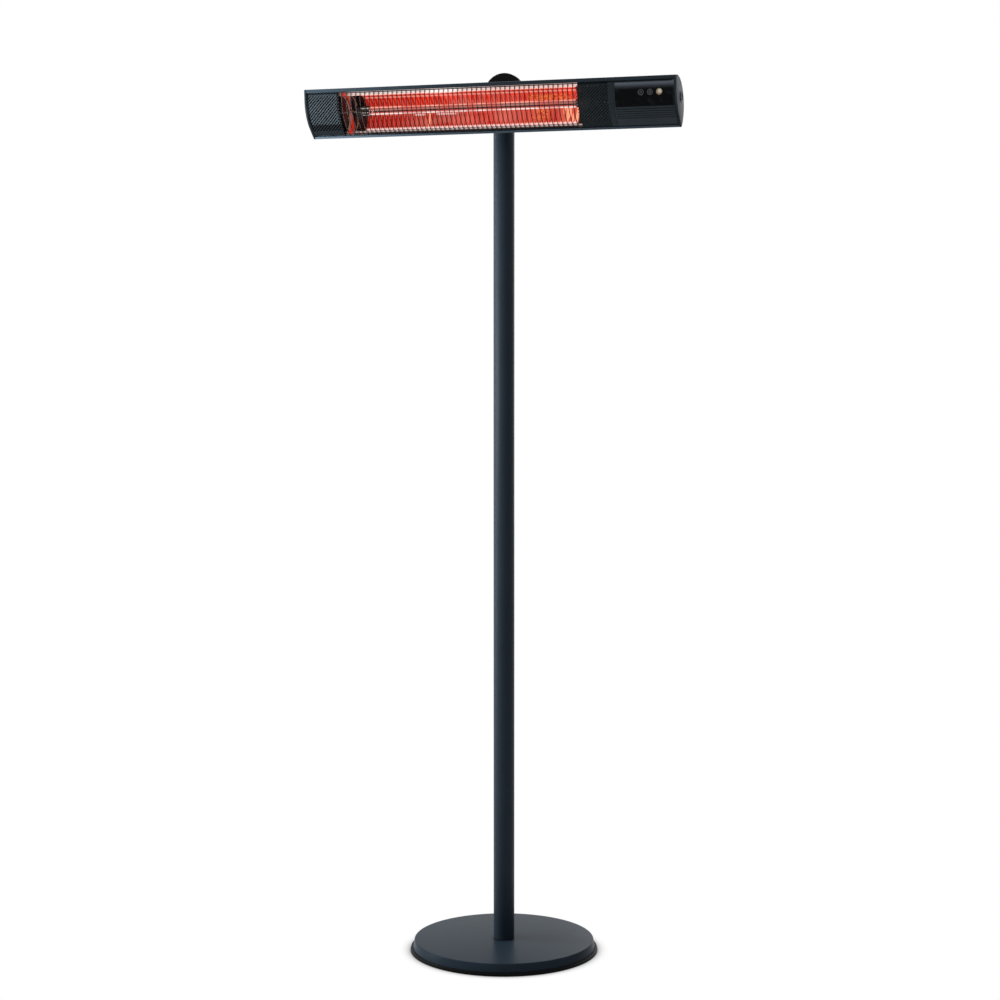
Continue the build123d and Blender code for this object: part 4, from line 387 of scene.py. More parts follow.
class Finish(ShaderTree):
    """One procedural material around a principled shader."""

    def __init__(self, name, **constants):
        if name in bpy.data.materials:
            raise RuntimeError(f"a finish named {name} is already there")
        material = bpy.data.materials.new(name)
        material.use_nodes = True
        super().__init__(material.node_tree)
        self.shader = self.nodes["Principled BSDF"]
        self.feed(**constants)
        self.place = self.node("ShaderNodeTexCoord", {}, output="Object")

    def feed(self, **values):
        """Gives the shader's sockets their constants or signals."""
        for socket, value in values.items():
            self.fill(self.shader.inputs[socket.replace("_", " ")], value)

    def bump(self, height, distance, strength=0.6):
        """Small relief of the surface."""
        self.feed(Normal=self.node("ShaderNodeBump", {}, Strength=strength, Distance=distance, Height=height))

    def noise(self, scale, detail=2.0, stretch=(1, 1, 1)):
        """Noise value between about 0.3 and 0.7, with `scale` patches a metre."""
        place = self.place
        if stretch != (1, 1, 1):
            place = self.node("ShaderNodeMapping", {}, place, Scale=stretch)
        return self.node("ShaderNodeTexNoise", {}, place, None, scale, detail)

    def cells(self, size, stretch):
        """Random value of each cell of a given size."""
        place = self.node("ShaderNodeMapping", {}, self.place, Scale=stretch)
        tint = self.node("ShaderNodeTexVoronoi", {}, place, None, 1 / size, output="Color")
        return self.node("ShaderNodeSeparateXYZ", {}, tint)

    def blend(self, amount, first, second, mode="MIX"):
        """Mixes two colours, each a signal or red, green and blue."""
        mixed = self.nodes.new("ShaderNodeMix")
        mixed.data_type, mixed.blend_type = "RGBA", mode
        first, second = (tint if isinstance(tint, Signal) else (*tint, 1) for tint in (first, second))
        for index, value in ((0, amount), (6, first), (7, second)):
            self.fill(mixed.inputs[index], value)
        return Signal(self, mixed.outputs[2])

    def layers(self, body, *coats):
        """Lays colours over a body; each coat is how much of it shows, its colour and its shade."""
        for amount, *tint in coats:
            body = self.blend(amount, body, shade(*tint))
        return body

    def mottle(self, pattern, tint, dark, pale, softness=0.4):
        """A tint that wanders between a darker and a paler tone with a pattern."""
        return self.blend(pattern.above(0.5, softness), shade(tint, dark), shade(tint, pale))

    def bands(self, signal, low, high, stops, unit=1.0):
        """Colour ramp over a signal; each stop is a place counted in a unit, a colour and its shade."""
        place = [((at - low) / (high - low), shade(*tint)) for at, *tint in stops]
        share = self.node("ShaderNodeMapRange", {}, signal, low * unit, high * unit)
        return self.node("ShaderNodeValToRGB", {"stops": place}, share)

    def painted_sheen_bands(self, height, controls, finishes):
        """Colour of the panel glass: black below and a painted reflection in satin grey towards its upper edge.
        """
        glass, sheen, foot = finishes.glass, finishes.sheen, controls.sheen_foot
        return self.bands(height - foot, 0, 17, [
            (0, glass), (3, glass, 1.6), (7, sheen, 0.2), (10.5, sheen, 0.5), (14, sheen, 0.95), (17, sheen),
        ], (controls.glass_top - foot) / 17)

    def along(self, direction, start=0.0):
        """Distance of the surface point along a direction, from a starting value."""
        return self.measure("DOT_PRODUCT", self.place, direction) - start

    def measure(self, operation, first, second):
        """One number worked out from two vectors."""
        return self.node("ShaderNodeVectorMath", {"operation": operation}, first, second, output="Value")

    def across(self):
        """World X of the surface point."""
        return self.along(Vector((1, 0, 0)))

    def depth(self, head):
        """Depth of the surface point behind the head's chord."""
        return self.along(head.back, head.origin.dot(head.back))

    def height(self, head):
        """Height of the surface point along the head's chord."""
        return self.along(head.up, head.origin.dot(head.up))

    def angle_about(self, across, up):
        """Angle in degrees of a direction given by two signals."""
        return self.node("ShaderNodeMath", {"operation": "ARCTAN2"}, up, across) * (180 / pi)


def shade(tint, factor=1.0):
    """A colour made lighter or darker."""
    return [min(1.0, value * factor) for value in tint]


def coat_finish(name, tint, roughness=0.44, specular=0.1, dust=0.0, tone=None):
    """Powder coat: fine orange-peel relief, faint mottling, dust on faces that look up."""
    finish = Finish(name, Roughness=roughness, Specular_IOR_Level=specular)
    peel, cloud = finish.noise(850, 3), finish.noise(9, 3)
    body = finish.mottle(cloud, tint, 0.93, 1.07, 0.5)
    body = finish.blend(peel.above(0.5, 0.4) * 0.1, body, shade(tint, 1.6))
    # a tone paints light or shade into the coat
    if tone:
        body = tone(finish, body)
    if dust:
        up = finish.node("ShaderNodeNewGeometry", {}, output="Normal")
        facing = finish.node("ShaderNodeSeparateXYZ", {}, up, output="Z").above(0.75, 0.5)
        specks = finish.noise(260, 4).above(0.6, 0.16) * facing * dust
        body = finish.blend(specks, body, (0.24, 0.25, 0.26))
    finish.feed(Base_Color=body, Roughness=cloud * 0.08 + peel * 0.06 + (roughness - 0.07))
    return finish.bump(peel, 0.00006, 0.55)


def pole_foot_painted_shadow(finish, body):
    """A painted contact shadow: a dark ring where the pole stands in the base."""
    across, back = finish.across(), finish.along(Vector((0, 1, 0)))
    # painted shadow round the pole's foot
    painted_shadow = 1 - (across * across + back * back).above(0.00095, 0.0006)
    return finish.blend(painted_shadow * 0.8, body, (0.003, 0.004, 0.005))


def housing_painted_light_and_shade(finish, body, head, finishes):
    """Painted light towards the left end and on the lower lip, painted shade inside the shell."""
    depth, height = finish.depth(head), finish.height(head)
    # painted light: the coat grows paler towards the left end
    left = 1 - finish.across().above(-0.25, 0.4)
    body = finish.blend(left, body, finishes.housing_left)
    # painted light from below on the lower lip
    lip = (1 - height.above(-0.0535, 0.001)) * (1 - depth.above(0.03, 0.004))
    body = finish.blend(lip, body, (2.1, 2.0, 2.0), "MULTIPLY")
    # painted shade: the inward faces inside the shell are near black
    normal = finish.node("ShaderNodeTexCoord", {}, output="Normal")
    inward = finish.measure("DOT_PRODUCT", normal, -head.back)
    inner = inward.above(0.1, 0.1) * depth.above(0.0065, 0.0005) * (1 - abs(height).above(0.0522, 0.0004))
    return finish.blend(inner, body, (0.008, 0.006, 0.006))


def cap_painted_shade(finish, body, head):
    """End cap with painted shade, darker towards its foot."""
    # painted shade towards the cap's foot
    foot = 1 - finish.height(head).above(-0.008, 0.05)
    return finish.blend(foot * 0.62, body, (0.008, 0.009, 0.01))


def moulded_finish(name, tint, roughness=0.5, grain=1400, specular=0.12):
    """Moulded plastic with an etched grain and faint flow clouding."""
    finish = Finish(name, Roughness=roughness, Specular_IOR_Level=specular)
    etched = finish.node("ShaderNodeTexVoronoi", {}, finish.place, None, grain)
    flow = finish.noise(22, 3)
    finish.feed(Base_Color=finish.mottle(flow, tint, 0.92, 1.1), Roughness=flow * 0.1 + (roughness - 0.05))
    return finish.bump(etched, 0.00005, 0.5)


def metal_finish(name, tint, roughness=0.34, spangle=0.0):
    """Bare or plated metal with spangles."""
    finish = Finish(name, Metallic=1.0, Roughness=roughness)
    grain = finish.noise(320, 4)
    patch = finish.node("ShaderNodeTexVoronoi", {}, finish.place, None, 240, output="Color")
    patch = finish.node("ShaderNodeSeparateXYZ", {}, patch, output="X")
    tone = grain.above(0.5, 0.5) * (1 - spangle) + patch * spangle
    finish.feed(
        Base_Color=finish.blend(tone, shade(tint, 0.82), shade(tint, 1.1)),
        Roughness=tone * 0.16 + (roughness - 0.08),
    )
    return finish.bump(grain, 0.00003, 0.4)


def rough_finish(name, tint, roughness=0.8, scale=420, relief=0.0002, specular=0.12):
    """Cast, rubber, fibre or ceramic surface with a coarse fine-scale relief."""
    finish = Finish(name, Roughness=roughness, Specular_IOR_Level=specular)
    grit, cloud = finish.noise(scale, 5), finish.noise(scale / 18, 3)
    body = finish.mottle(cloud, tint, 0.86, 1.12)
    body = finish.blend(grit.above(0.58, 0.2) * 0.35, body, shade(tint, 1.5))
    finish.feed(Base_Color=body, Roughness=grit * 0.2 + (roughness - 0.1))
    return finish.bump(grit, relief)


def sleeve_finish(name, tint):
    """Braided sleeve of a heat-proof lead."""
    finish = Finish(name, Roughness=0.7)
    turned = finish.node("ShaderNodeMapping", {}, finish.place, Rotation=(0, pi / 2, pi / 2))
    one, two = (
        finish.node("ShaderNodeTexWave", {"bands_direction": "DIAGONAL"}, place, 620, 1.5, output="Fac")
        for place in (finish.place, turned)
    )
    weave = one * two
    finish.feed(Base_Color=finish.blend(weave, shade(tint, 0.6), shade(tint, 1.2)))
    return finish.bump(weave, 0.0002)


def board_finish(name):
    """Green circuit board with copper tracks under the solder mask."""
    finish = Finish(name, Roughness=0.35, Coat_Weight=0.4)
    finish.feed(Base_Color=finish.node(
        "ShaderNodeTexBrick", {}, finish.place, (0.03, 0.19, 0.08, 1), (0.02, 0.14, 0.06, 1),
        (0.05, 0.27, 0.1, 1), 260, 0.06,
    ))
    return finish.bump(finish.noise(500), 0.00004)


def guard_finish(name, finishes, lamp):
    """Heat-darkened wire, with painted light where it passes the unlit ends of the window."""
    finish = Finish(name, Roughness=0.35, Specular_IOR_Level=0.12)
    soot = finish.noise(130, 3)
    # painted light on the wires past the lamp's ends
    painted_light_ends = 1 - finish.across().between(lamp.lit_left + 0.006, lamp.lit_right + 0.002, 0.012)
    body = finish.mottle(soot, finishes.guard, 0.7, 1.5)
    finish.feed(Base_Color=finish.blend(painted_light_ends * soot.above(0.44, 0.12), body, finishes.guard_end))
    return finish.bump(soot, 0.00004, 0.4)


def mesh_finish(name, head, tint, foot_tint):
    """Coat of a perforated field, with painted shade where the field turns under and a painted shadow along its
    left edge.
    """
    finish = Finish(name, Roughness=0.4, Specular_IOR_Level=0.15)
    peel = finish.noise(850, 3)
    # painted shade where the field turns under
    body = finish.blend(finish.height(head).above(-0.02, 0.006), foot_tint, tint)
    # painted shadow along the left edge, beside the cap
    body = finish.blend(finish.across().above(-0.4405, 0.0015), (0.003, 0.004, 0.004), body)
    finish.feed(Base_Color=finish.blend(peel.above(0.5, 0.3) * 0.3, body, shade(foot_tint, 0.8)))
    return finish.bump(peel, 0.00005, 0.5)


def ceramic_finish(name, head, lamp, finishes):
    """Near-black ceramic of the lamp's ends; the left one glows with broken rows of painted light along the
    tube.
    """
    finish = Finish(name, Roughness=0.45, Specular_IOR_Level=0.1, Emission_Strength=1.0)
    across, grit = finish.across(), finish.noise(500, 4)
    dash = (across + 1.0).fold(0.0029).above(0.0009, 0.0006)
    dark, row = shade(finishes.pale, 0.012), shade(finishes.pale, 0.7)
    rows = finish.bands(finish.height(head), -1, 1, [
        (-1, dark), (-0.75, dark), (-0.7, row), (-0.56, row), (-0.5, dark), (-0.12, dark), (-0.06, row),
        (0.1, row), (0.16, dark), (0.66, dark), (0.72, row), (0.84, row), (0.9, dark), (1, dark),
    ], lamp.ceramic)
    # painted light: emission rows on the left ceramic
    finish.feed(
        Emission_Color=finish.blend(dash * (1 - across.above(0, 0.01)), dark, rows),
        Base_Color=finish.blend(grit, (0.01, 0.008, 0.008), (0.03, 0.022, 0.02)),
    )
    return finish.bump(grit, 0.0001, 0.5)


def glass_panel_finish(name, head, controls, finishes):
    """Black panel glass: polished, with a painted reflection in satin grey that fades down from its upper edge.
    """
    finish = Finish(name, Specular_IOR_Level=0.04)
    height, smear = finish.height(head), finish.noise(60, 4)
    body = finish.painted_sheen_bands(height, controls, finishes)
    finish.feed(
        Base_Color=finish.blend(smear.above(0.62, 0.2) * 0.05, body, finishes.sheen),
        Roughness=height.above(controls.glass_top - 0.008, 0.01) * 0.25 + smear * 0.08 + 0.08,
    )
    return finish.bump(smear, 0.00002, 0.2)


def cover_finish(name, head, controls, finishes):
    """Moulded control cover with an etched grain, painted shade in its grooves and painted highlights beside
    them; its right edge is painted like the glass, with its painted reflection.
    """
    finish, tint = Finish(name, Specular_IOR_Level=0.12), finishes.moulding
    across, height = finish.across(), finish.height(head)
    turn = finish.angle_about(head.bend_depth - finish.depth(head), height - head.bend_height)
    run = turn * (head.sizes.bend * pi / 180)
    first, pitch, half = controls.groove_first, controls.groove_pitch, controls.groove_width / 2
    off = abs(run - first).fold(pitch / 2)
    last = first - (controls.groove_count - 1) * pitch
    grooves = run.between(last - half * 1.2, first + half * 1.2, 0.0002)
    flow = finish.noise(22, 3)
    body = finish.layers(
        finish.mottle(flow, tint, 0.9, 1.08),
        # painted highlights beside the grooves, then painted shade in them
        (off.between(half * 0.9, half * 1.55, 0.0004) * grooves * 0.6, tint, 2.1),
        ((1 - off.above(half, 0.0006)) * grooves * across.above(0.3062, 0.0003), tint, 0.06),
    )
    # painted reflection: the right edge takes the glass colours and their painted sheen
    beside = across.above(0.44, 0.0002) * height.between(-0.002, controls.glass_top + 0.002, 0.0003)
    body = finish.blend(beside, body, finish.painted_sheen_bands(height, controls, finishes))
    finish.feed(Base_Color=body, Roughness=flow * 0.1 + 0.42)
    return finish.bump(finish.node("ShaderNodeTexVoronoi", {}, finish.place, None, 1400), 0.00005, 0.5)


def reflector_finish(name, head, front, lamp, finishes):
    """Polished reflector sheet with the lamp's red light painted on as emission, with painted bright rows at
    its folds and trim.
    """
    finish = Finish(name, Metallic=1.0, Emission_Strength=1.0)
    centre = (lamp.reflector_depth ** 2 - lamp.mouth ** 2) / (2 * lamp.reflector_depth)
    across, height = finish.across(), finish.height(head)
    turn = finish.angle_about(finish.depth(head) - centre, height)
    rolled, streaks = finish.noise(60, 3, (1, 0.05, 0.05)), finish.noise(42, 4, (1, 0.2, 0.2))
    patch, shimmer = finish.noise(16, 3), finish.noise(9, 2, (1, 0.1, 0.1))
    glow, low, hot, pale = finishes.glow, finishes.deep_glow, finishes.hot, finishes.pale
    light = finish.bands(turn, -90, 90, [
        (-77, hot, 0.2), (-75.5, pale), (-68, pale, 1.1), (-66, hot, 0.45), (-63, low), (-35, low),
        (-8, glow, 0.85), (26, glow), (31, glow, 1.1), (33, hot, 0.55), (38, hot, 0.62), (41, low, 0.9),
        (50, low, 0.9), (53, hot, 0.8), (76, hot, 0.8),
    ])
    trough, middle = turn.between(-62, 33, 3), across.between(-0.2, 0.05, 0.1)
    spill = middle * across.between(-0.15, -0.085, 0.05) * turn.above(48, 2)
    dashes = across.between(-0.195, -0.17, 0.006) + across.between(-0.14, -0.092, 0.01)
    flare = across.between(-0.1605, -0.156, 0.002) * turn.between(-66, -24, 4)
    rung = (across + 1.0).fold(front.wire_pitch / 2)
    olive = across.between(0.09, 0.19, 0.02) * turn.between(0, 22, 7)
    olive = olive + across.between(0.1, 0.132, 0.035) * turn.between(-58, -16, 16)
    olive = olive * finish.cells(0.0036, (1, 1.4, 1.4)).above(0.5, 0.5)
    peach = across.between(0.158, 0.222, 0.008) * turn.between(-66, -14, 8)
    peach = peach * (finish.cells(0.0115, (1, 0.12, 0.12)).above(0.4, 0.3) * 0.85 + 0.08)
    # painted light and shade in the emission: darker streaks and left side, painted highlights, and painted
    # shadows beside the guard wires
    light = finish.layers(
        light,
        (streaks.above(0.5, 0.3) * 0.5 * trough, low, 0.6),
        ((1 - across.above(-0.23, 0.16)) * 0.4 * trough, low, 0.55),
        (patch.above(0.5, 0.2) * middle * 0.42 * trough, hot, 0.42),
        (spill * 0.8, pale, 1.1),
        (turn.between(-29.5, -24.5, 1.5) * dashes * 0.85, pale, 0.9),
        (flare * 0.9, finishes.peach),
        (rung.between(0.0034, 0.0044, 0.0008) * 0.3, hot, 0.9),
        ((1 - rung.above(0.0016, 0.0016)) * 0.5, low, 0.35),
        (olive * 0.85, finishes.side_glow),
        (peach, finishes.peach),
    )
    trim = abs(height).above(lamp.trim_inner - 0.0002, 0.0003)
    rows = finish.bands(abs(height), lamp.trim_inner, 0.052, [
        (0.045, hot, 0.85), (0.0467, pale, 0.9), (0.0471, low, 0.5), (0.0478, low, 0.5), (0.0482, pale, 0.62),
        (0.051, pale, 0.55),
    ])
    strip = finish.layers(
        finish.blend(shimmer.above(0.47, 0.16) * 0.5 + 0.5, shade(hot, 0.36), rows),
        (across.above(-0.02, 0.16) * 0.6, hot, 0.42),
        (across.between(-0.146, -0.07, 0.03) * 0.8, pale, 1.1),
    )
    light = finish.blend(trim, light, finish.blend(height.above(0, 0.01), shade(hot, 0.07), strip))
    gap = finish.cells(0.0034, (1, 0.02, 0.02)).above(0.62, 0.1)
    end = finish.layers(
        finish.blend(gap, (0.006, 0.003, 0.003), shade(hot, 0.22)),
        (across.between(-0.356, -0.346, 0.003), glow, 0.9),
        (across.between(-0.338, -0.314, 0.003), (0.004, 0.003, 0.003)),
    )
    lit = across.between(lamp.lit_left, lamp.lit_right, 0.006).most(trim * across.between(-0.34, 0.3, 0.02))
    dark_end = across.above(lamp.lit_right + 0.0005, 0.002) * (1 - trim)
    light = finish.blend(dark_end, finish.blend(lit, end, light), (0.002, 0.002, 0.002))
    body = finish.blend(rolled.above(0.5, 0.5), (0.36, 0.05, 0.035), (0.5, 0.075, 0.05))
    # painted shade: the metal is dark outside the lamp's lit span
    body = finish.blend(lit, (0.05, 0.035, 0.035), finish.blend(trim, body, (0.42, 0.37, 0.36)))
    finish.feed(Base_Color=body, Emission_Color=light, Roughness=rolled * 0.14 + 0.1)
    return finish.bump(rolled, 0.00008, 0.35)


def lamp_glass_finish(name, head, lamp, finishes):
    """Ruby quartz tube glowing red, with painted highlights along its upper and lower edges where the wall is
    seen edge-on.
    """
    finish = Finish(
        name, Roughness=0.08, Coat_Roughness=0.04, Coat_Weight=0.5, Emission_Strength=1.0, Alpha=0.9
    )
    glow, low, hot, pale = finishes.glow, finishes.deep_glow, finishes.hot, finishes.pale
    light = finish.bands(finish.height(head), -1, 1, [
        (-1, pale), (-0.8, pale, 1.35), (-0.4, pale, 1.2), (-0.3, glow, 0.7), (0.1, low, 0.9), (0.38, hot, 0.3),
        (0.56, hot, 0.34), (0.66, low, 0.6), (0.76, low, 0.8), (0.84, hot, 0.95), (0.94, hot), (1, glow, 1.1),
    ], lamp.radius)
    streaks = finish.noise(30, 3, (1, 0.2, 0.2))
    light = finish.blend(streaks.above(0.52, 0.2) * 0.55, light, shade(glow, 0.9))
    lit = finish.across().between(lamp.lit_left, lamp.lit_right, 0.006)
    finish.feed(
        Emission_Color=finish.blend(lit, (0.004, 0.002, 0.002), light),
        Base_Color=finish.blend(streaks, (0.1, 0.006, 0.004), (0.2, 0.014, 0.008)),
    )
    return finish.bump(streaks, 0.0001, 0.2)


def glow_finish(name):
    """White-hot heating coil."""
    finish = Finish(name, Roughness=0.6, Emission_Strength=2.2)
    wave = finish.noise(160, 2, (1, 0.2, 0.2))
    light = finish.blend(wave.above(0.5, 0.4), (1.0, 0.22, 0.05), (1.0, 0.5, 0.16))
    finish.feed(Emission_Color=light, Base_Color=finish.blend(wave, (0.3, 0.1, 0.05), (0.5, 0.2, 0.1)))
    return finish.bump(wave, 0.0001)


def lens_finish(name, tint, roughness=0.2, bright_spot=None):
    """Tinted clear plastic with a little depth; given a spot, a painted glint round it and painted shade
    further out.
    """
    finish = Finish(name, Roughness=roughness, Specular_IOR_Level=0.2)
    ripple = finish.noise(240, 3)
    body = finish.mottle(ripple, tint, 0.86, 1.12, 0.5)
    if bright_spot:
        off = finish.measure("DISTANCE", finish.place, bright_spot)
        # painted glint round the spot, painted shade further out
        body = finish.blend(off.above(0.0045, 0.005), shade(tint, 1.8), shade(tint, 0.45))
    finish.feed(Base_Color=body, Roughness=ripple * 0.12 + (roughness - 0.06))
    return finish.bump(ripple, 0.00004, 0.3)


def clear_finish(name, head, controls):
    """Cloudy clear plastic of the switch bezel, near black on its front half."""
    finish = Finish(name, Roughness=0.22, Alpha=0.72, Coat_Weight=0.2)
    cloud = finish.noise(180, 3)
    body = finish.blend(cloud.above(0.5, 0.4), (0.52, 0.54, 0.55), (0.74, 0.76, 0.77))
    rear = finish.depth(head).above(controls.switch_depth + 0.003, 0.004)
    finish.feed(Base_Color=finish.blend(rear, (0.006, 0.007, 0.008), body), Roughness=cloud * 0.2 + 0.12)
    return finish.bump(cloud, 0.00005, 0.3)


# ---- Mesh work ----
class HeadShape:
    """Section of the heater head: depth runs back from the chord, height up along it."""

    def __init__(self, sizes):
        self.sizes = sizes
        self.back = Vector((0, cos(TILT), sin(TILT)))
        self.up = Vector((0, -sin(TILT), cos(TILT)))
        self.origin = Vector((0, HEAD_PIVOT.y, HEAD_PIVOT.z)) - self.back * sizes.pivot_depth
        half, bend = sizes.half_chord, sizes.bend
        height = half * (tan(sizes.upper) - tan(sizes.lower)) / (tan(sizes.upper) + tan(sizes.lower))
        depth = -tan(sizes.upper) * (half - height)
        tangent = bend * tan((sizes.upper + sizes.lower) / 2)
        self.bend_depth = depth + tangent * sin(sizes.upper) + bend * cos(sizes.upper)
        self.bend_height = height + tangent * cos(sizes.upper) - bend * sin(sizes.upper)
        self.back_radius = (half ** 2 + sizes.back_depth ** 2) / (2 * sizes.back_depth)
        self.back_centre = sizes.back_depth - self.back_radius

    def at(self, x, depth, height):
        """World point of a place in the head's section."""
        return Vector((x, 0, 0)) + self.origin + self.back * depth + self.up * height

    def facing(self, height):
        """Angle of the skin's outward direction above the head's forward direction."""
        rise = (height - self.bend_height) / self.sizes.bend
        return asin(max(-sin(self.sizes.lower), min(sin(self.sizes.upper), rise)))

    def skin(self, run, inset=0.0):
        """Depth and height of the skin at a distance along it, measured up from the bend's middle line."""
        bend = self.sizes.bend
        turn = max(-self.sizes.lower, min(self.sizes.upper, run / bend))
        straight = run - turn * bend
        depth = self.bend_depth - bend * cos(turn) + straight * sin(turn) + inset * cos(turn)
        height = self.bend_height + bend * sin(turn) + straight * cos(turn) - inset * sin(turn)
        return depth, height

    def run(self, height, inset=0.0):
        """Distance along the skin at which a line `inset` below it reaches a height."""
        bend = self.sizes.bend
        turn = asin(max(-1.0, min(1.0, (height - self.bend_height) / (bend - inset))))
        turn = max(-self.sizes.lower, min(self.sizes.upper, turn))
        base = self.bend_height + (bend - inset) * sin(turn)
        return turn * bend + (height - base) / cos(turn)

    def strip(self, low, high, inset, steps=24):
        """Points of the skin between two heights, from low to high."""
        first, last = self.run(low, inset), self.run(high, inset)
        return [self.skin(first + (last - first) * i / steps, inset) for i in range(steps + 1)]

    def band(self, outer, inner, low, high, steps=24):
        """Closed section between two insets and two heights."""
        return self.strip(low, high, outer, steps) + self.strip(low, high, inner, steps)[::-1]

    def back_arc(self, inset, low, high, steps=40):
        """Points of the rounded back between two heights, from high to low."""
        radius = self.back_radius - inset
        first, last = asin(high / radius), asin(low / radius)
        turns = [first + (last - first) * i / steps for i in range(steps + 1)]
        return [(self.back_centre + radius * cos(turn), radius * sin(turn)) for turn in turns]

    def outline(self, inset=0.0, corner_steps=5):
        """Whole closed section with rounded upper and lower corners, `inset` inside the skin."""
        corner = max(self.sizes.corner - inset, 0.0003)
        points = []
        for side in (1, -1):
            face = self.sizes.upper if side > 0 else self.sizes.lower
            centre = self._corner(side, face)
            arc = asin(side * centre[1] / (self.back_radius - self.sizes.corner))
            start, end = pi - face, arc
            turns = [start + (end - start) * i / corner_steps for i in range(corner_steps + 1)]
            arc_points = [
                (centre[0] + corner * cos(turn), centre[1] + side * corner * sin(turn)) for turn in turns
            ]
            points.append(arc_points)
        top, bottom = points
        front = self.strip(bottom[0][1], top[0][1], inset)[1:-1]
        rear = self.back_arc(inset, bottom[-1][1], top[-1][1])[1:-1]
        return front + top + rear + bottom[::-1]

    def _corner(self, side, face):
        """Centre of a corner's rounding, inside both the front face and the rounded back."""
        corner, half = self.sizes.corner, self.sizes.half_chord
        reach = self.back_radius - corner
        low, high = 0.0, half
        for _ in range(60):
            height = (low + high) / 2
            depth = corner / cos(face) - tan(face) * (half - height)
            inside = (depth - self.back_centre) ** 2 + height ** 2 < reach ** 2
            low, high = (height, high) if inside else (low, height)
        return depth, side * height

    def square_plane(self, x, depth, height, turn):
        """Place function for a flat drawing that faces `turn` above the head's forward direction."""
        origin = self.at(x, depth, height)
        rise = self.back * sin(turn) + self.up * cos(turn)
        out = self.up * sin(turn) - self.back * cos(turn)
        return lambda u, v, w=0.0: origin + Vector((u, 0, 0)) + rise * v + out * w

    def below(self, height, inset):
        """Depth and height of the place at a height on a line `inset` below the skin."""
        return self.skin(self.run(height, inset), inset)

    def front_depth(self, height, inset=0.0):
        """Depth of the skin, or a line below it, at a height."""
        return self.below(height, inset)[0]


def loft(mesh, rings, loop=False):
    """Skins a row of closed rings with the same number of points, joined end to end or capped."""
    rows = [[mesh.verts.new(point) for point in ring] for ring in rings]
    pairs = list(zip(rows, rows[1:])) + ([(rows[-1], rows[0])] if loop else [])
    count = len(rows[0])
    for near, far in pairs:
        for i in range(count):
            j = (i + 1) % count
            mesh.faces.new((near[i], near[j], far[j], far[i]))
    if not loop:
        mesh.faces.new(rows[0][::-1])
        mesh.faces.new(rows[-1])


def prism(mesh, head, section, start, end):
    """A head section carried from one world X to another."""
    loft(mesh, [[head.at(x, depth, height) for depth, height in section] for x in (start, end)])


def revolve(mesh, section, place, steps):
    """Turns a closed section of radius and height about an axis; `place` maps x, y, height to the world."""
    rings = []
    for i in range(steps):
        turn = 2 * pi * i / steps
        rings.append([place(radius * cos(turn), radius * sin(turn), height) for radius, height in section])
    loft(mesh, rings, loop=True)


def rounded(corners, steps=4):
    """Polygon with rounded corners; each corner is x, y and a radius, in turn."""
    points = []
    count = len(corners)
    for i, (x, y, radius) in enumerate(corners):
        here = Vector((x, y))
        before = Vector(corners[i - 1][:2]) - here
        after = Vector(corners[(i + 1) % count][:2]) - here
        if radius <= 0:
            points.append((x, y))
            continue
        half = before.angle(after) / 2
        reach = min(radius / tan(half), before.length * 0.49, after.length * 0.49)
        radius = reach * tan(half)
        first, last = here + before.normalized() * reach, here + after.normalized() * reach
        middle = here + (before.normalized() + after.normalized()).normalized() * (radius / sin(half))
        a, b = first - middle, last - middle
        turn = a.angle_signed(b) * -1
        for k in range(steps + 1):
            swing = turn * k / steps
            points.append((
                middle.x + a.x * cos(swing) - a.y * sin(swing),
                middle.y + a.x * sin(swing) + a.y * cos(swing),
            ))
    return points


def circle(radius, steps):
    """Points of a circle."""
    turns = [2 * pi * i / steps for i in range(steps)]
    return [(radius * cos(turn), radius * sin(turn)) for turn in turns]


def upright(x, y, z):
    """Place function of something turned about the pole's axis."""
    return Vector((x, y, z))


def finish_piece(name, mesh, body, finish, replaces=(), crease=35, bevel=0.0):
    """Turns a bmesh into a finished piece of the heater and hands it to the frame."""
    if bevel:
        sharp = [edge for edge in mesh.edges if edge.calc_face_angle(0) > radians(crease)]
        bmesh.ops.bevel(
            mesh, geom=sharp, offset=bevel, offset_type="OFFSET", segments=2, profile=0.5,
            affect="EDGES", clamp_overlap=True,
        )
    bmesh.ops.remove_doubles(mesh, verts=mesh.verts, dist=1e-7)
    bmesh.ops.recalc_face_normals(mesh, faces=mesh.faces)
    wide = [face for face in mesh.faces if len(face.verts) > 4]
    bmesh.ops.triangulate(mesh, faces=wide, quad_method="BEAUTY", ngon_method="EAR_CLIP")
    for face in mesh.faces:
        face.smooth = True
    for edge in mesh.edges:
        edge.smooth = edge.calc_face_angle(0) < radians(crease)
    data = bpy.data.meshes.new(name)
    mesh.to_mesh(data)
    mesh.free()
    data.materials.append(finish_named(finish))
    piece = bpy.data.objects.new(name, data)
    bpy.context.scene.collection.objects.link(piece)
    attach(piece, body)
    if replaces:
        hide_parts(*replaces)


def finish_named(name):
    """A finish that the finishes operator has made."""
    material = bpy.data.materials.get(name)
    if material is None:
        raise RuntimeError(f"the finish {name} has not been made")
    return material


def turned_piece(name, body, finish, replaces, corners, smooth, place, steps):
    """A finished piece turned from a section with rounded corners."""
    mesh = bmesh.new()
    revolve(mesh, rounded(corners, smooth), place, steps)
    finish_piece(name, mesh, body, finish, replaces)


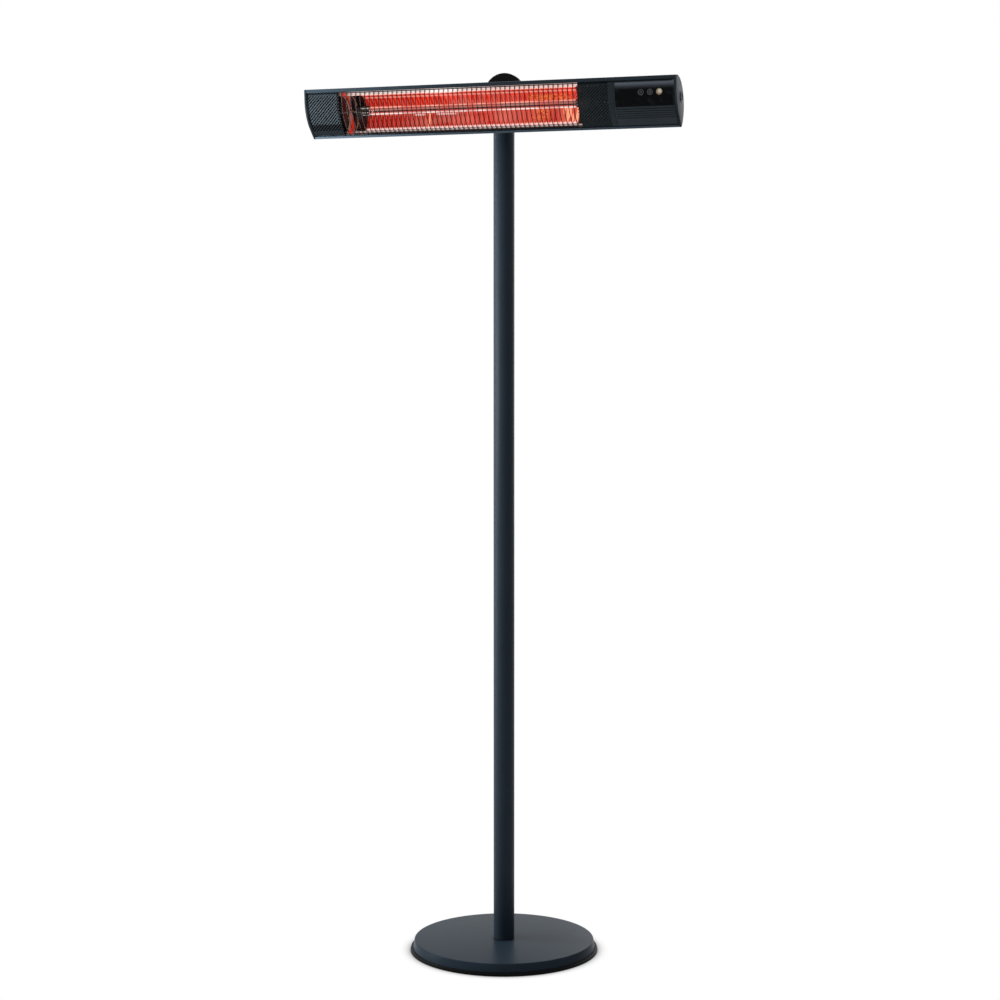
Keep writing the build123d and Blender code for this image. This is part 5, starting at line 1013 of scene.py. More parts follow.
# ---- Geometry node trees ----
class ShapeTree:
    """A geometry node tree with named inputs."""

    def __init__(self, name, whole, sizes):
        self.tree = bpy.data.node_groups.new(name, "GeometryNodeTree")
        kinds = {"Geometry": "Geometry", **dict.fromkeys(whole, "Int"), **dict.fromkeys(sizes, "Float")}
        for key, kind in {**kinds, "Material": "Material"}.items():
            self.tree.interface.new_socket(key, in_out="INPUT", socket_type="NodeSocket" + kind)
        self.tree.interface.new_socket("Geometry", in_out="OUTPUT", socket_type="NodeSocketGeometry")
        self.given = self.tree.nodes.new("NodeGroupInput").outputs

    def node(self, kind, settings=None, output=0, **links):
        """Adds a node, sets it up and fills its sockets by name, or by number as n0, n1."""
        made = self.tree.nodes.new(kind)
        for key, value in (settings or {}).items():
            setattr(made, key, value)
        for key, value in links.items():
            name = key.replace("_", " ")
            socket = made.inputs[int(name[1:])] if name[0] == "n" and name[1:].isdigit() else made.inputs[name]
            for item in value if isinstance(value, list) else [value]:
                if isinstance(item, bpy.types.NodeSocket):
                    self.tree.links.new(item, socket)
                else:
                    socket.default_value = item
        return made.outputs[output] if output is not None else made.outputs

    def math(self, operation, first, second=0.0):
        """One Math node on two values."""
        return self.node("ShaderNodeMath", {"operation": operation}, n0=first, n1=second)

    def drum(self, sides, radius, height):
        """Cylinder with a given number of sides."""
        return self.node("GeometryNodeMeshCylinder", Vertices=sides, Radius=radius, Depth=height)

    def raised(self, geometry, height, share):
        """Geometry moved up by a share of a height."""
        lift = self.node("ShaderNodeCombineXYZ", Z=self.math("MULTIPLY", height, share))
        return self.node("GeometryNodeTransform", Geometry=geometry, Translation=lift)

    def strand(self, path, sides, radius):
        """Round strand along a curve."""
        ring = self.node("GeometryNodeCurvePrimitiveCircle", Resolution=sides, Radius=radius)
        return self.node("GeometryNodeCurveToMesh", Curve=path, Profile_Curve=ring, Fill_Caps=True)

    def end(self, geometry):
        """Realizes the copies, sets their material and closes the tree."""
        real = self.node("GeometryNodeRealizeInstances", Geometry=geometry)
        painted = self.node("GeometryNodeSetMaterial", Geometry=real, Material=self.given["Material"])
        self.tree.links.new(painted, self.tree.nodes.new("NodeGroupOutput").inputs[0])


def grow(name, finish, source=None, mesh=None, **values):
    """Runs a tree on a source mesh and adds the plain mesh that it makes to a bmesh."""
    carrier = bpy.data.objects.new(name, source or bpy.data.meshes.new("blank"))
    bpy.context.scene.collection.objects.link(carrier)
    modifier = carrier.modifiers.new(name, "NODES")
    modifier.node_group = tree = bpy.data.node_groups[name]
    values["Material"] = finish_named(finish)
    for item in tree.interface.items_tree:
        key = item.name.replace(" ", "_")
        if item.in_out == "INPUT" and key in values:
            modifier[item.identifier] = values[key]
    evaluated = carrier.evaluated_get(bpy.context.evaluated_depsgraph_get())
    made = bpy.data.meshes.new_from_object(evaluated)
    bpy.data.objects.remove(carrier)
    mesh = bmesh.new() if mesh is None else mesh
    mesh.from_mesh(made)
    return mesh


def wire_row_tree():
    """Round wire along a path, repeated along X."""
    shape = ShapeTree("wire row", ["Count"], ["Pitch", "Radius"])
    given = shape.given
    path = shape.node("GeometryNodeMeshToCurve", Mesh=given["Geometry"])
    step = shape.node("ShaderNodeCombineXYZ", X=given["Pitch"])
    row = shape.node("GeometryNodeMeshLine", {"mode": "OFFSET"}, Count=given["Count"], Offset=step)
    wire = shape.strand(path, 10, given["Radius"])
    shape.end(shape.node("GeometryNodeInstanceOnPoints", Points=row, Instance=wire))


def diamond_sheet_tree():
    """Flat sheet of square cells with square holes, turned to diamonds and cut to a rectangle."""
    shape = ShapeTree("diamond sheet", ["Cells"], ["Cell", "Hole Length", "Hole Width", "Width", "Height"])
    given = shape.given
    side = shape.math("MULTIPLY", given["Cells"], given["Cell"])
    count = shape.math("ADD", given["Cells"], 1.0)
    grid = shape.node("GeometryNodeMeshGrid", Size_X=side, Size_Y=side, Vertices_X=count, Vertices_Y=count)
    turned = shape.node("GeometryNodeTransform", Geometry=grid, Rotation=(0.0, 0.0, pi / 4))
    place = shape.node("ShaderNodeSeparateXYZ", output=None, Vector=shape.node("GeometryNodeInputPosition"))
    beyond = []
    for axis, size in enumerate(("Width", "Height")):
        half = shape.math("MULTIPLY", given[size], 0.5)
        beyond.append(shape.math("GREATER_THAN", shape.math("ABSOLUTE", place[axis]), half))
    faces = {"domain": "FACE"}
    kept = shape.node(
        "GeometryNodeDeleteGeometry", faces, Geometry=turned, Selection=shape.math("MAXIMUM", *beyond)
    )
    shrunk, lids, *_ = shape.node(
        "GeometryNodeExtrudeMesh", {"mode": "FACES"}, output=None, Mesh=kept, Offset_Scale=0.0, Individual=True
    )
    for size, axis in (("Hole Length", (1.0, 1.0, 0.0)), ("Hole Width", (1.0, -1.0, 0.0))):
        shrunk = shape.node(
            "GeometryNodeScaleElements", {**faces, "scale_mode": "SINGLE_AXIS"}, Geometry=shrunk,
            Selection=lids, Scale=given[size], Axis=axis,
        )
    shape.end(shape.node("GeometryNodeDeleteGeometry", faces, Geometry=shrunk, Selection=lids))


def socket_screw_tree():
    """Screw heads with a low crown and a six-sided recess, one on each point and aimed by an attribute."""
    shape = ShapeTree("screw heads", ["Sides"], ["Radius", "Height", "Recess", "Recess Depth"])
    given = shape.given
    crown_height = shape.math("MULTIPLY", given["Height"], 1.12)
    head = shape.drum(given["Sides"], given["Radius"], given["Height"])
    crown = shape.drum(28, shape.math("MULTIPLY", given["Radius"], 0.84), crown_height)
    joined = shape.node("GeometryNodeMeshBoolean", {"operation": "UNION"}, Mesh_2=[head, crown])
    recess = shape.drum(6, given["Recess"], shape.math("MULTIPLY", given["Recess Depth"], 2.0))
    recess = shape.raised(recess, crown_height, 0.5)
    cut = shape.node("GeometryNodeMeshBoolean", {"operation": "DIFFERENCE"}, Mesh_1=joined, Mesh_2=recess)
    aim = shape.node("GeometryNodeInputNamedAttribute", {"data_type": "FLOAT_VECTOR"}, Name="aim")
    turn = shape.node("FunctionNodeAlignRotationToVector", {"axis": "Z"}, Vector=aim)
    seated = shape.raised(cut, crown_height, -0.5)
    shape.end(shape.node(
        "GeometryNodeInstanceOnPoints", Points=given["Geometry"], Instance=seated, Rotation=turn
    ))


def heating_coil_tree():
    """Coiled strand of the lamp, wound upwards from the origin."""
    shape = ShapeTree("heating coil", [], ["Turns", "Radius", "Length", "Strand"])
    given = shape.given
    coil = shape.node(
        "GeometryNodeCurveSpiral", Resolution=14, Rotations=given["Turns"], Start_Radius=given["Radius"],
        End_Radius=given["Radius"], Height=given["Length"],
    )
    shape.end(shape.strand(coil, 6, given["Strand"]))


def path_mesh(points):
    """Mesh of one open path."""
    data = bpy.data.meshes.new("path")
    data.from_pydata([tuple(point) for point in points], [(i, i + 1) for i in range(len(points) - 1)], [])
    return data


def screw_row(name, body, finish, node, spots, **sizes):
    """Screw heads at world points; each spot is a point on the head's crown and an outward direction."""
    source = bpy.data.meshes.new("spots")
    source.from_pydata([tuple(point) for point, _ in spots], [], [])
    aims = source.attributes.new("aim", "FLOAT_VECTOR", "POINT")
    aims.data.foreach_set("vector", [value for _, aim in spots for value in aim])
    mesh = grow("screw heads", finish, source, **sizes)
    finish_piece(name, mesh, body, finish, [node], crease=30)


# ---- Operators ----
class HeaterOperator(bpy.types.Operator):
    """Common ground of the heater's operators."""

    bl_options = {"REGISTER", "UNDO"}

    @property
    def head(self):
        """Section of the head from the current sizes."""
        return HeadShape(bpy.context.scene.heater_head)


class HEATER_OT_finishes(HeaterOperator):
    """Makes every finish and paints the CAD pieces that stay in view"""

    bl_idname = "heater.finishes"
    bl_label = "Finishes"

    CARRIED = {
        "zinc steel": (
            "base_bottom_plate", "base_washer", "base_bolt", "bracket_nuts", "bracket_screws", "hinge_bolt",
            "hinge_nut", "hinge_sleeve", "hinge_washers", "rail_bolts", "rail_nuts", "board_screws",
        ),
        "black coat": ("mount_plate", "fixed_bracket", "tilt_bracket"),
        "black moulding": ("pole_foot_plug", "pole_top_plug"),
        "switch black": ("receiver_module", "tact_switches", "relay", "switch_body"),
        "lead sleeve": ("lamp_leads", "control_leads", "mains_leads"),
        "gland black": ("cable_gland", "gland_nut"),
        "key face": ("power_key", "mode_key"),
        "cast weight": ("base_weight",), "pressed fibre": ("friction_washers",),
        "seal rubber": ("end_gaskets",),
        "reflector": ("reflector_end_plates",), "dark ceramic": ("lamp_holders",),
        "pale ceramic": ("terminal_block",), "sheet steel": ("bay_partition",), "board": ("circuit_board",),
        "ribbed moulding": ("control_cover",), "panel glass": ("control_glass",),
        "amber lens": ("receiver_lens",),
    }

    def execute(self, context):
        scene = context.scene
        tints, head, controls, lamp = scene.heater_finishes, self.head, scene.heater_controls, scene.heater_lamp
        coat_finish("pole coat", tints.coat, 0.44, 0.09)
        # the base coat's tone paints a contact shadow round the pole's foot
        coat_finish("base coat", tints.base, 0.32, 0.03, tone=pole_foot_painted_shadow)
        coat_finish(
            "housing coat", tints.housing, 0.45, 0.07, 0.1,
            lambda finish, body: housing_painted_light_and_shade(finish, body, head, tints),
        )
        coat_finish("cap coat", tints.cap, 0.46, 0.05, tone=lambda finish, body: cap_painted_shade(finish, body, head))
        coat_finish("panel coat", tints.panel, 0.45, 0.05)
        # the two perforated fields carry a painted-light and a painted-shade copy of one coat
        mesh_finish("left mesh coat", head, tints.left_mesh, tints.mesh_foot)
        coat_finish("right mesh coat", tints.right_mesh, 0.45, 0.06)
        coat_finish("black coat", tints.plate, 0.5, 0.08)
        guard_finish("guard coat", tints, lamp)
        moulded_finish("cover moulding", shade(tints.moulding, 0.72), 0.46)
        cover_finish("ribbed moulding", head, controls, tints)
        moulded_finish("black moulding", (0.012, 0.013, 0.014), 0.5)
        moulded_finish("switch black", (0.011, 0.011, 0.012), 0.4, 1800)
        moulded_finish("gland black", (0.013, 0.013, 0.014), 0.55, 1100)
        moulded_finish("key face", tints.glass, 0.3, 2200, 0.06)
        metal_finish("zinc steel", (0.56, 0.57, 0.58), 0.36, 0.5)
        metal_finish("black steel", (0.05, 0.05, 0.055), 0.42)
        metal_finish("sheet steel", (0.46, 0.47, 0.48), 0.38, 0.7)
        rough_finish("cast weight", (0.045, 0.045, 0.047), 0.75, 380, 0.0006)
        rough_finish("rim rubber", (0.003, 0.0035, 0.004), 0.45, 700, 0.00005, 0.06)
        rough_finish("seal rubber", (0.011, 0.011, 0.012), 0.8, 700, 0.0001)
        rough_finish("pressed fibre", (0.1, 0.075, 0.05), 0.85, 900, 0.0001)
        rough_finish("dark ceramic", (0.01, 0.008, 0.008), 0.6, 500, 0.0001)
        ceramic_finish("lit ceramic", head, lamp, tints)
        rough_finish("pale ceramic", (0.62, 0.58, 0.5), 0.55, 500, 0.0001)
        rough_finish("key print", tints.key_disc, 0.5, 900, 0.00002)
        sleeve_finish("lead sleeve", (0.5, 0.45, 0.36))
        board_finish("board")
        lens_x = controls.key_x + 2 * controls.key_pitch
        glint = head.at(lens_x + 0.002, head.front_depth(controls.key_height), controls.key_height + 0.0015)
        lens_finish("amber lens", tints.amber, 0.3, glint)
        lens_finish("printed mark", tints.ink, 0.35)
        lens_finish("dim mark", tints.dim_ink, 0.4)
        clear_finish("clear bezel", head, controls)
        glow_finish("heating coil")
        glass_panel_finish("panel glass", head, controls, tints)
        reflector_finish("reflector", head, scene.heater_front, lamp, tints)
        lamp_glass_finish("lamp glass", head, lamp, tints)
        for finish, nodes in self.CARRIED.items():
            for node in nodes:
                for place in frame["nodes"][node].material_slots:
                    place.material = finish_named(finish)
        return {"FINISHED"}


class HEATER_OT_base(HeaterOperator):
    """Builds the pressed base cover, the rubber rim ring and the screws under the base"""

    bl_idname = "heater.base"
    bl_label = "Base"

    def execute(self, context):
        sizes = context.scene.heater_base
        top, skirt, foot, sheet = sizes.top_radius, sizes.foot_radius, sizes.foot_height, sizes.sheet
        under = sizes.height - sheet
        turned_piece("base_cover_shell", "stand", "base coat", ["base_cover"], [
            (sizes.bolt_hole, sizes.height, 0), (top, sizes.height, sizes.edge), (skirt, foot, 0.0005),
            (skirt - sheet, foot, 0.0005), (top - sheet, under, 0.001), (sizes.bolt_hole, under, 0),
        ], 6, upright, 192)
        outer, inner, edge = sizes.ring_radius, sizes.ring_radius - sizes.ring_reach, sizes.ring_round
        plate, plate_low, plate_high = outer - 0.0034, 0.003, 0.006
        turned_piece("rubber_rim_ring", "stand", "rim rubber", ["base_rim_ring"], [
            (inner, 0, 0.0006), (outer, 0, edge), (outer, foot - 0.0006, edge),
            (skirt + 0.0012, foot - 0.0006, 0.0002), (skirt + 0.0008, foot - 0.0014, 0.0002),
            (skirt + 0.0003, foot, 0.0001), (inner, foot, 0.0004), (inner, plate_high, 0),
            (plate, plate_high, 0), (plate, plate_low, 0), (inner, plate_low, 0),
        ], 4, upright, 192)
        reach, face, down = sizes.screw_circle, sizes.screw_face, Vector((0, 0, -1))
        turns = [radians(60 * i) for i in range(6)]
        screw_row(
            "base_screw_heads", "stand", "zinc steel", "base_screws",
            [(Vector((reach * cos(turn), reach * sin(turn), face)), down) for turn in turns],
            Sides=28, Radius=0.0049, Height=0.0021, Recess=0.0022, Recess_Depth=0.0014,
        )
        return {"FINISHED"}


class HEATER_OT_pole(HeaterOperator):
    """Builds the pole tube, the round cover behind the plate and their screws"""

    bl_idname = "heater.pole"
    bl_label = "Pole"

    def execute(self, context):
        sizes, disc = context.scene.heater_base, context.scene.heater_disc
        outer, bore = sizes.pole_radius, sizes.pole_radius - sizes.pole_wall
        foot, top = sizes.height, sizes.pole_top
        turned_piece("pole_shell", "stand", "pole coat", ["pole_tube"], [
            (bore, foot, 0.0003), (outer, foot, 0.0006), (outer, top, 0.0006), (bore, top, 0.0003),
        ], 3, upright, 128)
        rim, wall, hole = disc.radius, disc.wall, 0.00215
        turned_piece("round_plate_cover", "stand", "black moulding", ["plate_cover"], [
            (hole, disc.back, 0.0003), (rim, disc.back, disc.edge), (rim, disc.front, 0.0004),
            (rim - wall, disc.front, 0.0004), (rim - wall, disc.back - wall, disc.edge - wall),
            (hole, disc.back - wall, 0),
        ], 8, lambda x, y, depth: Vector((x, depth, disc.centre + y)), 128)
        rear = Vector((0, 1, 0))
        screw_row(
            "round_cover_screw", "stand", "black steel", "cover_screw",
            [(Vector((0, disc.back + 0.0001, disc.centre)), rear)],
            Sides=28, Radius=0.0036, Height=0.0018, Recess=0.0014, Recess_Depth=0.0012,
        )
        low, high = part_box("plug_screws")
        spots = [(Vector((0, high.y, (low.z + high.z) / 2 + off)), rear) for off in (-0.014, 0.014)]
        screw_row(
            "pole_screw_heads", "stand", "black steel", "plug_screws", spots,
            Sides=28, Radius=0.0055, Height=0.0028, Recess=0.0023, Recess_Depth=0.0018,
        )
        return {"FINISHED"}


class HEATER_OT_housing(HeaterOperator):
    """Builds the extruded housing with its lips and rail, the end caps and the cap screws"""

    bl_idname = "heater.housing"
    bl_label = "Housing"

    def execute(self, context):
        sizes, head = context.scene.heater_head, self.head
        inset = sizes.cap + sizes.gasket
        mesh = bmesh.new()
        prism(mesh, head, self.section(head, sizes), sizes.left + inset, sizes.right - inset)
        finish_piece("housing_shell", mesh, "head", "housing coat", ["housing"], crease=30)
        spots = []
        for hand, outer, side in (("left", sizes.left, -1), ("right", sizes.right, 1)):
            self.cap(head, sizes, hand, outer, side)
            for depth, height in (
                (sizes.port_outer_depth, sizes.port_outer_height),
                (sizes.port_inner_depth, sizes.port_inner_height),
            ):
                for up in (1, -1):
                    spots.append((head.at(outer + side * 0.00002, depth, up * height), Vector((side, 0, 0))))
        screw_row(
            "cap_screw_heads", "head", "black steel", "end_cap_screws", spots,
            Sides=24, Radius=0.0029, Height=0.0015, Recess=0.0013, Recess_Depth=0.001,
        )
        return {"FINISHED"}

    def section(self, head, sizes):
        """Closed section of the housing wall, from the upper opening round the back to the lower one."""
        outer, front, lip = head.outline(), 23, 0.0006
        front_low = [point for point in outer[:front + 3] if point[1] < -sizes.opening]
        front_high = [point for point in outer[:front + 3] if point[1] > sizes.opening]
        slot, cavity = sizes.rail_back - sizes.slot_lip, sizes.cavity_half
        rail = [
            (sizes.rail_back, sizes.rail_half), (sizes.rail_back, sizes.slot_half), (slot, sizes.slot_half),
            (slot, cavity), (slot - sizes.cavity_depth, cavity),
        ]
        rail += [(depth, -height) for depth, height in reversed(rail)]
        rest = [point for point in outer[front:] if point not in front_high + front_low]
        skin = (
            [head.skin(head.run(sizes.opening + lip))] + sorted(front_high, key=lambda point: point[1])
            + [point for point in rest if point[1] > sizes.rail_half] + rail
            + [point for point in rest if point[1] < -sizes.rail_half]
            + sorted(front_low, key=lambda point: point[1]) + [head.skin(head.run(-sizes.opening - lip))]
        )
        lower_lip, upper_lip = (
            [
                head.below(side * height, inset) for height, inset in (
                    (sizes.opening, lip), (sizes.opening, sizes.seat), (sizes.ledge, sizes.seat),
                    (sizes.ledge, sizes.ledge_back), (sizes.opening + sizes.wall, sizes.ledge_back),
                    (sizes.opening + sizes.wall, sizes.wall),
                )
            ] for side in (-1, 1)
        )
        reach = sizes.half_chord - 0.0035
        arc = head.back_arc(sizes.wall, -reach, reach)[::-1]
        low = [point for point in arc if point[1] < -sizes.rail_half]
        high = [point for point in arc if point[1] > sizes.rail_half]
        floor = [(sizes.rail_floor, -sizes.rail_half), (sizes.rail_floor, sizes.rail_half)]
        return skin + lower_lip + low + floor + high + upper_lip[::-1]

    def cap(self, head, sizes, hand, outer, side):
        """One end plate with a rounded outer edge."""
        mesh = bmesh.new()
        rings = [[head.at(outer - side * sizes.cap, *point) for point in head.outline()]]
        for turn in (pi / 2 * i / 5 for i in range(6)):
            x = outer - side * sizes.cap_edge * (1 - sin(turn))
            rings.append([head.at(x, *point) for point in head.outline(sizes.cap_edge * (1 - cos(turn)))])
        loft(mesh, rings)
        finish_piece(f"{hand}_cap_plate", mesh, "head", "cap coat", [f"{hand}_end_cap"], crease=40)


class HEATER_OT_panels(HeaterOperator):
    """Builds the two perforated panels and the divider strip of the front"""

    bl_idname = "heater.panels"
    bl_label = "Panels"

    def execute(self, context):
        front, sizes, head = context.scene.heater_front, context.scene.heater_head, self.head
        self.panel(head, sizes, front, "left", front.left_start, front.left_end, -1)
        self.panel(head, sizes, front, "right", front.right_start, front.right_end, 1)
        half, foot, wall = sizes.front_half, sizes.foot, 0.0015
        section = head.strip(-half, half, 0.0, 40) + [head.below(half, foot), head.below(half - wall, foot)]
        section += head.strip(wall - half, half - wall, wall, 40)[::-1]
        section += [head.below(wall - half, foot), head.below(-half, foot)]
        mesh = bmesh.new()
        prism(mesh, head, section, front.divider_left, front.divider_right)
        finish_piece(
            "divider_cover", mesh, "head", "cover moulding", ["divider_strip"], crease=30,
            bevel=0.0003,
        )
        return {"FINISHED"}

    def panel(self, head, sizes, front, hand, start, end, side):
        """A plain border, a raised rim beside the window and a diamond-pierced field, bent to the skin."""
        half = sizes.front_half
        outer, inner = front.inset, front.inset + front.sheet
        rim_start = start if side > 0 else end - front.rim
        rim_end = rim_start + front.rim
        plain_start, plain_end = (rim_end, end) if side > 0 else (start, rim_start)
        left, right = start + front.border, end - front.border
        top, bottom = half - front.border, front.lower_band - half
        mesh = bmesh.new()
        sides = head.band(outer, inner, bottom, top, 36)
        prism(mesh, head, head.band(outer, inner, top, half, 6), plain_start, plain_end)
        prism(mesh, head, head.band(outer, inner, -half, bottom, 10), plain_start, plain_end)
        prism(mesh, head, sides, plain_start, max(left, plain_start))
        prism(mesh, head, sides, min(right, plain_end), plain_end)
        prism(mesh, head, head.band(0, sizes.foot, -half, half, 40), rim_start, rim_end)
        for low, high in ((half - front.sheet, half), (-half, front.sheet - half)):
            prism(mesh, head, head.band(outer, sizes.foot, low, high, 2), start, end)
        finish_piece(
            f"{hand}_panel_frame", mesh, "head", "panel coat", [f"{hand}_mesh_panel"], crease=30
        )
        low, high = head.run(bottom), head.run(top)
        cell, share = front.cell, front.right_holes if side > 0 else 1.0
        width, span = right - left, high - low
        cells = int((width + span) / sqrt(2) / cell) + 2
        mesh = grow(
            "diamond sheet", f"{hand} mesh coat", Cells=cells, Cell=cell, Hole_Length=front.hole_length * share,
            Hole_Width=front.hole_width * share, Width=width + cell, Height=span + cell,
        )
        sheet, faces = list(mesh.verts), list(mesh.faces)
        copied = bmesh.ops.duplicate(mesh, geom=sheet + faces)
        deep = {item for item in copied["geom"] if isinstance(item, bmesh.types.BMVert)}
        for group, inset in ((sheet, outer + 0.0001), (deep, inner - 0.0002)):
            for vert in group:
                across = (vert.co.x - vert.co.y) / sqrt(2) / cell + cells / 2
                lean = (across - round(across)) * front.twist
                place = head.skin((low + high) / 2 + vert.co.y, inset + lean)
                vert.co = head.at((left + right) / 2 + vert.co.x, *place)
        mirror = dict(copied["vert_map"].items())
        for edge in {edge for face in faces for edge in face.edges}:
            if edge.is_boundary:
                a, b = edge.verts
                mesh.faces.new((a, b, mirror[b], mirror[a]))
        finish_piece(f"{hand}_perforated_field", mesh, "head", f"{hand} mesh coat", crease=30)


class HEATER_OT_guard(HeaterOperator):
    """Builds the wire guard from one wire path that is repeated along the window"""

    bl_idname = "heater.guard"
    bl_label = "Guard"

    def execute(self, context):
        front, head, coat = context.scene.heater_front, self.head, "guard coat"
        left, right, pitch = front.window_left, front.window_right, front.wire_pitch
        count = int((right - left) / pitch)
        first = (left + right - (count - 1) * pitch) / 2
        strip = head.strip(-front.wire_reach, front.wire_reach, front.wire / 2, 30)
        path = path_mesh([head.at(first, *point) for point in strip])
        mesh = grow("wire row", coat, path, Count=count, Pitch=pitch, Radius=front.wire / 2)
        behind = front.wire + front.rod / 2 - front.weld
        for height in (front.rod_height, front.middle_rod, -front.rod_height):
            depth = head.front_depth(height, behind)
            path = path_mesh([head.at(x, depth, height) for x in (left + 0.0002, right - 0.0002)])
            grow("wire row", coat, path, mesh, Count=1, Pitch=0.0, Radius=front.rod / 2)
        finish_piece("window_wire_guard", mesh, "head", coat, ["wire_guard"], crease=50)
        return {"FINISHED"}


class HEATER_OT_lamp(HeaterOperator):
    """Builds the reflector, the lamp tube, its heating coil and ceramic ends"""

    bl_idname = "heater.lamp"
    bl_label = "Lamp"

    def execute(self, context):
        lamp, head = context.scene.heater_lamp, self.head
        self.reflector(lamp, head, context.scene.heater_front, context.scene.heater_head.seat)
        along = lambda x, y, reach: head.at(reach, lamp.depth + x, y)
        (low, *_), (high, *_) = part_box("lamp_tube")
        outer, bore = lamp.radius, lamp.radius - lamp.glass
        turned_piece("quartz_tube", "head", "lamp glass", ["lamp_tube"], [
            (bore, low, 0), (outer, low, 0.0004), (outer, high, 0.0004), (bore, high, 0),
        ], 2, along, 48)
        mesh = grow(
            "heating coil", "heating coil", Turns=(high - low) / lamp.coil_pitch, Length=high - low,
            Radius=lamp.filament - lamp.coil_wire / 2, Strand=lamp.coil_wire / 2,
        )
        for vert in mesh.verts:
            vert.co = along(vert.co.x, vert.co.y, low + vert.co.z)
        finish_piece("heating_coil", mesh, "head", "heating coil", ["lamp_filament"], crease=60)
        (far_left, *_), (far_right, *_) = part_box("lamp_ceramics")
        cup, bore = 0.008, 0.0016
        mesh = bmesh.new()
        for end, mouth in ((far_left, low + cup), (far_right, high - cup)):
            section = rounded([
                (bore, end, 0), (lamp.ceramic, end, lamp.ceramic_edge),
                (lamp.ceramic, mouth, lamp.ceramic_edge), (lamp.radius + 0.0001, mouth, 0), (bore, mouth, 0),
            ], 4)
            revolve(mesh, section, along, 48)
        finish_piece("lamp_end_ceramics", mesh, "head", "lit ceramic", ["lamp_ceramics"])
        return {"FINISHED"}

    def reflector(self, lamp, head, front, seat):
        """Curved trough with flanges, a polished return at its left and bright trim strips on the ledges."""
        inset, sheet, mouth_height = lamp.flange_inset, lamp.sheet, lamp.mouth
        mouth = (head.front_depth(mouth_height, inset), mouth_height)
        foot = (head.front_depth(-mouth_height, inset), -mouth_height)
        centre, radius = self.circle_through(mouth, (lamp.reflector_depth, 0), foot)
        first, last = (atan2(y - centre[1], x - centre[0]) for x, y in (mouth, foot))
        turns = [first + (last - first) * i / 64 for i in range(65)]
        face, back = (
            [(centre[0] + reach * cos(turn), centre[1] + reach * sin(turn)) for turn in turns]
            for reach in (radius, radius + sheet)
        )
        upper = head.strip(mouth_height, lamp.flange, inset, 4)[::-1]
        lower = head.strip(-lamp.flange, -mouth_height, inset, 4)[::-1]
        upper_back = head.strip(mouth_height + sheet, lamp.flange, inset + sheet, 4)
        lower_back = head.strip(-lamp.flange, -mouth_height - sheet, inset + sheet, 4)
        open_face = upper + face[1:] + lower[1:]
        low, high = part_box("reflector")
        start = low.x - lamp.return_left
        mesh = bmesh.new()
        prism(mesh, head, open_face + lower_back + back[2:-2][::-1] + upper_back, start, high.x)
        prism(mesh, head, open_face, start, start + sheet)
        for edges in ((lamp.trim_inner, lamp.trim_outer), (-lamp.trim_outer, -lamp.trim_inner)):
            trim = head.band(lamp.trim_front, seat - 0.00005, *edges, 3)
            prism(mesh, head, trim, front.window_left + 0.0004, front.window_right - 0.0004)
        finish_piece(
            "polished_reflector", mesh, "head", "reflector", ["reflector"], crease=40
        )

    def circle_through(self, first, second, third):
        """Centre and radius of the circle through three section points."""
        (ax, ay), (bx, by), (cx, cy) = first, second, third
        scale = 2 * (ax * (by - cy) + bx * (cy - ay) + cx * (ay - by))
        squares = [x * x + y * y for x, y in (first, second, third)]
        x = (squares[0] * (by - cy) + squares[1] * (cy - ay) + squares[2] * (ay - by)) / scale
        y = (squares[0] * (cx - bx) + squares[1] * (ax - cx) + squares[2] * (bx - ax)) / scale
        return (x, y), sqrt((ax - x) ** 2 + (ay - y) ** 2)


